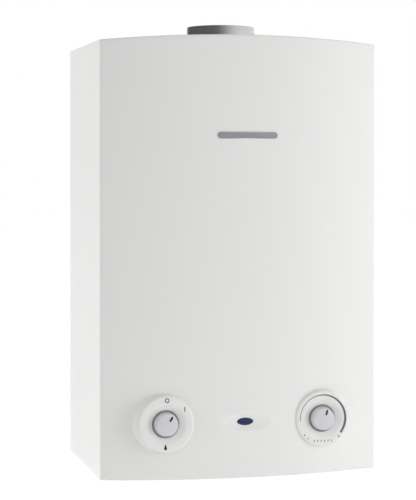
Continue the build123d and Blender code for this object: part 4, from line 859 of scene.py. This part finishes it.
@dataclass
class DialSurround:
    """Moulded surround whose dished face is parallel to the wall, on the bowed panel."""

    name: str
    node: str
    centre_x: float
    case: Case
    face_y: float = -268.5
    hole: float = 18.75
    face_radius: float = 37.5
    foot_radius: float = 44.0
    drop: float = 19.0
    edge_round: float = 3.0
    dish: float = 3.5
    dish_radius: float = 27.5
    dish_hole: float = 19.05
    dish_blend: float = 1.0
    dish_margin: float = 3.0
    hole_round: float = 0.6
    hole_turn: float = 85.0
    wall: float = 2.5
    collar_radius: float = 30.0
    collar_wall: float = 2.5
    collar_length: float = 20.0
    steps: int = 160
    dish_steps: int = 24
    skirt_steps: int = 6
    halvings: int = 40

    def skirt_foot(self, radius: float, depth: float, angle: np.ndarray) -> np.ndarray:
        """Where a line down the skirt meets the panel, for each angle round the dial.

        The line starts at a radius and depth and has the skirt's slope. Bisection finds
        the share of it at which its y is the panel's y.

        Args:
            radius: The line's first radius.
            depth: The line's first depth behind the face.
            angle: Angles clockwise from twelve o'clock.

        Returns:
            The radius and y of each foot, as two columns.
        """
        slope = (self.foot_radius - self.face_radius) / self.drop
        low, high = np.zeros_like(angle), np.full_like(angle, self.drop - depth)
        for _ in range(self.halvings):
            middle = (low + high) / 2
            x = self.centre_x + (radius + slope * middle) * np.sin(angle)
            above = self.face_y + depth + middle < self.case.front_y(x)
            low, high = np.where(above, middle, low), np.where(above, high, middle)
        return np.stack([radius + slope * low, self.face_y + depth + low], axis=-1)

    def build(self) -> None:
        """Build the surround as a closed profile carried round the dial.

        From the hole's edge the profile goes out over the dish and the flat face, round
        the edge, down the skirt to the panel, back up inside, along the collar that goes
        through the panel, and in to the hole again.
        """
        angle = full_turn(self.steps)
        drop_angle = math.degrees(math.atan2(self.drop, self.foot_radius - self.face_radius))
        edge_reach = self.edge_round * math.tan(math.radians(drop_angle / 2))
        edge = (self.face_radius - edge_reach, self.edge_round)
        slope = self.dish / (self.dish_radius - self.dish_hole)
        dish_in, dish_out = self.hole + self.hole_round, self.dish_radius + self.dish_margin
        dish_r = np.linspace(dish_in, dish_out, self.dish_steps)
        cone = slope * (self.dish_radius - dish_r)
        dish_d = soft_highest(cone, np.zeros_like(cone), self.dish_blend)
        hole_edge = (dish_in, dish_d[0] + self.hole_round)
        face = np.concatenate([
            arc(hole_edge, self.hole_round, -180.0, self.hole_turn - 180.0, 6),
            np.stack([dish_r, dish_d], axis=-1),
            arc(edge, self.edge_round, -90.0, drop_angle - 90.0, 9),
        ])
        foot = self.skirt_foot(float(face[-1, 0]), float(face[-1, 1]), angle)
        skirt = between(face[-1] + [0.0, self.face_y], foot, self.skirt_steps)
        inner = self.skirt_foot(self.face_radius - self.wall, self.wall, angle)
        collar_in = self.collar_radius - self.collar_wall
        collar_end = self.wall + self.collar_length
        back = np.array([
            [self.face_radius - self.wall, self.wall],
            [self.collar_radius, self.wall],
            [self.collar_radius, collar_end],
            [collar_in, collar_end],
            [collar_in, self.wall],
            [self.hole, self.wall + self.dish],
            face[0],
        ])

        def round_rows(profile: np.ndarray) -> np.ndarray:
            """Radius and y for every angle, of a profile of radius and depth."""
            return np.repeat((profile + [0.0, self.face_y])[:, None], self.steps, axis=1)

        rows = np.concatenate([round_rows(face), skirt, inner[None], round_rows(back)])
        centre = (self.centre_x, self.case.dial_height)
        piece = make_piece(self.name, *turned(rows, centre, self.steps))
        settle(piece, SURROUND, "case", "white_plastic", self.node)


@dataclass
class Knob:
    """Turning knob: a lacquered cap, a trim ring whose dark grey is partly painted shade round its
    base, and a line that points.

    line_shares are the rings of the line's inlay, from its spine to its edge, and
    line_lifts is how far each is proud, as a share of line_rise.
    """

    body: str
    centre_x: float
    angle: float
    height: float = 76.2
    seat_y: float = -265.0
    rise: float = 12.0
    tip_radius: float = 14.8
    base_radius: float = 16.9
    dome: float = 1.0
    rim_round: float = 1.6
    rim_start: float = -84.0
    wall: float = 2.0
    flange: float = 1.5
    flange_back: float = 2.5
    ring_width: float = 1.6
    ring_gap: float = 0.05
    ring_rise: float = 1.0
    line_length: float = 7.6
    line_width: float = 2.9
    line_reach: float = 13.4
    line_rise: float = 0.12
    line_steps: int = 48
    line_shares: tuple[float, ...] = (0.0, 0.5, 0.8, 0.93, 1.0, 1.0)
    line_lifts: tuple[float, ...] = (1.0, 1.0, 1.0, 0.75, 0.25, -3.0)

    @property
    def tip_y(self) -> float:
        """Y of the knob's tip."""
        return self.seat_y - self.rise

    def dome_y(self, radius: np.ndarray) -> np.ndarray:
        """Y of the domed face: it falls with the square of the radius."""
        return self.tip_y + self.dome * np.square(radius / self.tip_radius)

    def cap_profile(self) -> np.ndarray:
        """Profile of the cap, from the tip's middle round the rim to the hub inside.

        Returns:
            Radius and y of each point.
        """
        face_r = np.linspace(0.0, self.tip_radius - self.rim_round, 12)
        face = np.stack([face_r, self.dome_y(face_r)], axis=-1)
        lean = math.degrees(math.atan2(self.base_radius - self.tip_radius, self.rise))
        rim_centre = (face_r[-1], face[-1, 1] + self.rim_round)
        rim = arc(rim_centre, self.rim_round, self.rim_start, -lean, 8)
        base_y, back_y = self.seat_y + self.flange, self.seat_y + self.flange_back
        out = self.base_radius + self.ring_width
        inside = face[-1, 1] + self.wall
        side = between(rim[-1], np.array([self.base_radius, base_y]), 4)[:-1]
        back = [
            [self.base_radius, base_y], [out, base_y], [out, back_y],
            [self.base_radius - self.wall, back_y], [self.tip_radius - self.wall, inside],
            [0.0, inside],
        ]
        return np.concatenate([face, rim, side, back])

    def ring_profile(self) -> np.ndarray:
        """Closed profile of the trim ring, with rounded front edges.

        Returns:
            Radius and y of each point.
        """
        low, high = self.base_radius + self.ring_gap, self.base_radius + self.ring_width
        back, front = self.seat_y + self.flange, self.seat_y - self.ring_rise
        turn = self.ring_width / 3
        return np.concatenate([
            [[low, back]],
            arc((low + turn, front + turn), turn, 180.0, 270.0, 6),
            arc((high - turn, front + turn), turn, 270.0, 360.0, 6),
            [[high, back], [low, back]],
        ])

    def line(self) -> Mesh:
        """The pointing line: a slot-shaped inlay that follows the dome, a little proud.

        For the angle a round its outline and the share s from its spine to its edge, a
        point is at s times the half width from the spine; its rise falls off near the edge.

        Returns:
            Points and faces.
        """
        angle = full_turn(self.line_steps)
        share = np.array(self.line_shares)[:, None]
        lift = np.array(self.line_lifts)[:, None] * self.line_rise
        half = self.line_width / 2
        spine = (self.line_length / 2 - half) * np.sign(np.cos(angle))
        middle = self.line_reach - self.line_length / 2
        along = middle + spine + share * half * np.cos(angle)
        across = share * half * np.sin(angle)
        turn = math.radians(self.angle)
        x = self.centre_x + along * math.sin(turn) + across * math.cos(turn)
        h = self.height + along * math.cos(turn) - across * math.sin(turn)
        y = np.maximum(self.dome_y(np.hypot(along, across)) - lift, self.tip_y)
        return to_frame(x, y, h), grid_faces(*x.shape, ring=True)

    def build(self) -> None:
        """Build the cap, the ring and the line, and dress the spindle."""
        centre = (self.centre_x, self.height)
        cap = make_piece(f"{self.body}_cap", *turned(self.cap_profile(), centre))
        ring = make_piece(f"{self.body}_trim_ring", *turned(self.ring_profile(), centre))
        line = make_piece(f"{self.body}_line", *self.line())
        dress(DUCT_WHITE, f"{self.body}_spindle")
        settle(cap, KNOB_SILVER, self.body, "silver_plastic", f"{self.body}_knob")
        # The ring's dark grey is partly painted shade and painted reflection round the knob's base
        settle(ring, RING_PAINTED_SHADE, self.body, "dark_plastic", f"{self.body}_knob_ring")
        settle(line, NYLON_BLACK, self.body, "black_plastic", f"{self.body}_pointer")


@dataclass
class Lamp:
    """Oval blue lens, domed, with a flange behind the panel."""

    width: float = 22.2
    length: float = 9.6
    height: float = 76.2
    base_y: float = -266.0
    proud: float = 1.8
    dome_share: float = 0.8
    dome_power: float = 1.2
    behind: float = 1.8
    flange: float = 2.5
    flange_thickness: float = 1.5
    steps: int = 96

    def build(self) -> None:
        """Build the lens as ovals from its middle to its flange.

        An oval has a share of the half width and half height, and may grow past them. On
        the dome that share is the sine of a turn from 0 to 90 degrees, and the dome falls
        by a power of one less the turn's cosine, so its top is flat and its edge round.
        """
        angle = full_turn(self.steps)
        turn = np.linspace(0.0, 1.0, 14) * math.pi / 2
        fall = self.proud * self.dome_share * (1 - np.cos(turn)) ** self.dome_power
        dome_y = self.base_y - self.proud + fall
        front = self.base_y + self.behind
        back = front + self.flange_thickness
        share, grow, y = np.concatenate([
            np.column_stack([np.sin(turn), np.zeros_like(turn), dome_y]),
            [[1.0, 0.0, self.base_y], [1.0, 0.0, front], [1.0, self.flange, front]],
            [[1.0, self.flange, back], [1.0, 0.0, back], [0.0, 0.0, back]],
        ]).T[..., None]
        x = (share * self.width / 2 + grow) * np.sin(angle)
        h = self.height + (share * self.length / 2 + grow) * np.cos(angle)
        piece = make_piece("lamp_window", to_frame(x, y, h), grid_faces(*x.shape, ring=True))
        settle(piece, LENS_BLUE, "case", "blue_lens", "lamp_lens")


@dataclass
class Badge:
    """Blank bar that follows the bow of the panel."""

    case: Case
    width: float = 84.0
    height: float = 9.0
    thickness: float = 1.0
    gap: float = 0.1
    centre_x: float = 3.0
    centre_h: float = 464.0
    edge_round: float = 0.5
    steps: int = 96

    def build(self) -> None:
        """Build the bar as slot-shaped rings from its spine to its edge and round the back.

        A point is at some reach from the spine, up to half the height. Near the edge the
        face rounds off on a quarter circle. All of it is bent to the panel's bow.
        """
        angle = full_turn(self.steps)
        half = self.height / 2
        spine = (self.width / 2 - half) * np.sign(np.sin(angle))
        fold = np.radians(np.linspace(0.0, 90.0, 5))
        rim = half - self.edge_round * (1 - np.sin(fold))
        rim_rise = self.thickness - self.edge_round * (1 - np.cos(fold))
        reach = np.concatenate([[0.0, half / 2], rim, [half, 0.0]])[:, None]
        rise = np.concatenate([[self.thickness] * 2, rim_rise, [0.0, 0.0]])[:, None]
        x = self.centre_x + (reach * np.sin(angle) + spine)
        h = self.centre_h + reach * np.cos(angle)
        y = self.case.front_y(x) - self.gap - rise
        piece = make_piece("blank_bar", to_frame(x, y, h), grid_faces(*x.shape, ring=True))
        settle(piece, BADGE_FOIL, "case", "badge_silver", "blank_badge")


@dataclass
class FlueTop:
    """Bright collar for the air pipe, on its flanged turret with four screws."""

    centre: tuple[float, float] = (0.0, -135.0)
    base_h: float = 606.5
    rim_h: float = 620.0
    radius: float = 47.8
    wall: float = 1.5
    margin: float = 2.0
    steps: int = 192

    def build(self) -> None:
        """Build the collar as a closed profile with a rolled rim, and dress the turret."""
        inner, turn = self.radius - self.wall, self.wall / 2
        low, high = self.base_h + self.margin, self.rim_h - self.margin
        profile = np.concatenate([
            [[inner, self.base_h], [self.radius, self.base_h]],
            [[self.radius, low], [self.radius, high]],
            arc((self.radius - turn, self.rim_h - turn), turn, 0.0, 180.0, 9),
            [[inner, self.base_h]],
        ])
        collar = make_piece("air_collar", *turned(profile, self.centre, self.steps, upright=True))
        dress(CAST_ALUMINIUM, "flue_turret")
        dress(SEAL, "flue_seal")
        dress(STAINLESS, "flue_screws")
        settle(collar, COLLAR_STEEL, "chassis", "bright_metal", "flue_collar")


@dataclass(frozen=True)
class Assembly:
    """Inner sub-assembly whose CAD shapes stay and take finishes."""

    name: str
    finishes: dict[Finish, tuple[str, ...]]

    def build(self) -> None:
        """Dress every node of the sub-assembly."""
        for finish, nodes in self.finishes.items():
            dress(finish, *nodes)
        log.info("finished %s", self.name)


INSIDE = (
    Assembly("wall mounting", {
        ZINC_SHEET: ("wall_plate", "hanging_bracket"),
        RUBBER: ("wall_spacers",),
    }),
    Assembly("chassis", {
        ZINC_SHEET: ("chassis_back", "chassis_bottom", "case_catches", "box_brackets"),
        ENAMEL: ("chassis_top",),
        STAINLESS: ("case_screws",),
        NYLON_BLACK: ("cable_gland",),
    }),
    Assembly("control box", {
        NYLON_BLACK: ("control_box", "control_box_cover"),
        BOARD: ("circuit_board",),
        PLASTIC_GREY: ("board_parts", "selector_switch", "temperature_potentiometer"),
        ACRYLIC: ("light_guide",),
        LEAD_SLEEVE: ("leads",),
    }),
    Assembly("heat cell", {
        CAST_ALUMINIUM: ("heat_exchanger", "burner_door"),
        SEAL: ("burner_gasket",),
        STAINLESS: ("burner",),
        CERAMIC: ("electrodes",),
    }),
    Assembly("fan", {
        CAST_ALUMINIUM: ("fan_housing", "gas_mixer"),
        GALVANISED: ("fan_back_plate",),
        NYLON_BLACK: ("fan_motor",),
        STAINLESS: ("fan_shaft",),
        PLASTIC_GREY: ("fan_impeller",),
    }),
    Assembly("gas train", {
        CAST_ALUMINIUM: ("gas_valve",),
        NYLON_BLACK: ("valve_coils",),
        BRASS: ("gas_cock", "union_nuts"),
        LEVER_VINYL: ("gas_cock_lever",),
        COPPER: ("gas_pipes", "gas_feed_pipe", "flow_pipe", "return_pipe"),
    }),
    Assembly("condensate and flue", {
        PLASTIC_GREY: ("condensate_sump",),
        DUCT_WHITE: ("condensate_trap", "condensate_pipe", "flue_duct"),
    }),
)


@dataclass(frozen=True)
class SoftLamp:
    """Softbox that faces the object.

    The azimuth is 0 in front of the object and grows to its right, in degrees. The
    distance, width and length are in metres, the power in watts.
    """

    name: str
    azimuth: float
    elevation: float
    distance: float
    width: float
    length: float
    power: float

    def hang(self, target: tuple[float, float, float]) -> None:
        """Hang the lamp so that it faces the target.

        Args:
            target: The target's place in the frame.
        """
        data = bpy.data.lights.new(self.name, "AREA")
        data.shape = "RECTANGLE"
        data.size = self.width
        data.size_y = self.length
        data.energy = self.power
        lamp = add_object(self.name, data)
        turn, rise = math.radians(self.azimuth), math.radians(self.elevation)
        level = self.distance * math.cos(rise)
        lamp.location = (
            target[0] + level * math.sin(turn),
            target[1] - level * math.cos(turn),
            target[2] + self.distance * math.sin(rise),
        )
        lamp.rotation_euler = (math.pi / 2 - rise, 0.0, turn)
        lamp.visible_glossy = False


@dataclass
class Studio:
    """Pale floor, white surroundings, soft lamps and the camera, in metres and degrees.

    Metal sees a room whose brightness goes from dark_left at dark_x to bright_right at
    bright_x, where x is that of the direction it looks in.
    """

    camera_place: tuple[float, float, float] = (-0.5961, -2.4001, -0.1093)
    camera_yaw: float = 14.306
    camera_pitch: float = 0.795
    lens: float = 117.83
    sensor: float = 36.0
    far: float = 100.0
    shift_y: float = -0.12
    floor_z: float = -1.75
    floor_half: float = 40.0
    floor_tones: tuple[str, str] = ("F2F2F2", "EEEEEE")
    floor_grain: float = 3.0
    floor_lift: float = 0.59
    ambient: float = 0.51
    dark_x: float = -0.6
    dark_left: float = 0.12
    bright_x: float = 0.95
    bright_right: float = 1.15
    target: tuple[float, float, float] = (0.0, -0.2, -0.15)
    lamps: tuple[SoftLamp, ...] = (
        SoftLamp("key", 56.0, -6.0, 1.9, 1.0, 2.2, 19.6),
        SoftLamp("side", -140.0, 0.0, 6.0, 2.5, 3.0, 197.0),
        SoftLamp("left", -80.0, -4.0, 4.5, 1.4, 2.4, 29.0),
        SoftLamp("top", 0.0, 55.0, 3.5, 1.6, 1.0, 5.0),
        SoftLamp("low", -32.0, -40.0, 1.3, 0.6, 0.6, 1.0),
    )

    def camera(self) -> None:
        """Make the camera where the photograph's perspective puts it."""
        data = bpy.data.cameras.new("camera")
        data.lens = self.lens
        data.sensor_width = self.sensor
        data.shift_y = self.shift_y
        data.clip_end = self.far
        camera = add_object("camera", data)
        camera.location = self.camera_place
        pitch, yaw = math.radians(90.0 - self.camera_pitch), math.radians(-self.camera_yaw)
        camera.rotation_euler = (pitch, 0.0, yaw)
        bpy.context.scene.camera = camera

    def world(self) -> None:
        """White behind the object, even light on it and a room that grows brighter to the right.

        Camera and transmission rays see white. Diffuse rays see the even light. Glossy
        rays see a room whose brightness follows x, so that metal shades from left to right.
        """
        world = bpy.data.worlds.new("studio")
        bpy.context.scene.world = world
        tree = empty_tree(world)
        path = add_node(tree, "LightPath").outputs
        way = add_node(tree, "TexCoord").outputs["Generated"]
        x = add_node(tree, "SeparateXYZ", {0: way}).outputs["X"]
        ends = {"From Min": self.dark_x, "From Max": self.bright_x}
        levels = {"To Min": self.dark_left, "To Max": self.bright_right}
        room = add_node(
            tree, "MapRange", {"Value": x, **ends, **levels}, interpolation_type="SMOOTHSTEP"
        )
        level = add_node(tree, "Mix", {
            0: path["Is Glossy Ray"], 2: self.ambient, 3: room.outputs["Result"],
        })
        rays = {0: path["Is Camera Ray"], 1: path["Is Transmission Ray"]}
        seen = add_node(tree, "Math", rays, operation="MAXIMUM")
        strength = add_node(tree, "Mix", {0: seen.outputs[0], 2: level.outputs[0], 3: 1.0})
        sky = add_node(tree, "Background", {"Color": WHITE, "Strength": strength.outputs[0]})
        add_node(tree, "OutputWorld", {"Surface": sky.outputs["Background"]})

    def floor(self) -> None:
        """Wide pale floor that keeps the shadow and is white where the lamps reach it.

        It is matt, and gives off a little light of its own that only the camera sees.
        """
        corners = np.array([[-1, -1], [1, -1], [1, 1], [-1, 1]]) * self.floor_half
        points = np.column_stack([corners, np.full(4, self.floor_z)])
        floor = make_piece("floor", points, np.array([[0, 1, 2, 3]]), closed=False)
        material = bpy.data.materials.new("pale_floor")
        tree = empty_tree(material)
        place = add_node(tree, "TexCoord").outputs["Object"]
        grain = add_node(tree, "TexNoise", {"Vector": place, "Scale": self.floor_grain})
        colour = mixed(tree, grain.outputs["Fac"], *map(linear, self.floor_tones))
        matt = add_node(tree, "BsdfDiffuse", {"Color": colour})
        seen = add_node(tree, "LightPath").outputs["Is Camera Ray"]
        lift = add_node(tree, "Math", {0: seen, 1: self.floor_lift}, operation="MULTIPLY")
        glow = add_node(tree, "Emission", {"Color": WHITE, "Strength": lift.outputs[0]})
        both = add_node(tree, "AddShader", {0: matt.outputs[0], 1: glow.outputs[0]})
        add_node(tree, "OutputMaterial", {"Surface": both.outputs[0]})
        floor.data.materials.append(material)

    def build(self) -> None:
        """Set up the studio."""
        self.camera()
        self.world()
        self.floor()
        for lamp in self.lamps:
            lamp.hang(self.target)
        bpy.context.scene.view_settings.view_transform = "Standard"
        log.info("set up the studio")


def main() -> None:
    """Build every sub-assembly in order, then the studio."""
    logging.basicConfig(level=logging.INFO, format="%(name)s: %(message)s")
    case = Case()
    case.build()
    DialSurround("selector_surround", "selector_bezel", -case.dial_x, case).build()
    DialSurround("temperature_surround", "temperature_bezel", case.dial_x, case).build()
    Knob("selector", -case.dial_x, 32.0).build()
    Knob("temperature", case.dial_x, 19.0).build()
    dress(PRINT_INK, "dial_marks")
    Lamp().build()
    Badge(case).build()
    FlueTop().build()
    for assembly in INSIDE:
        assembly.build()
    Studio().build()


if __name__ == "__main__":
    main()
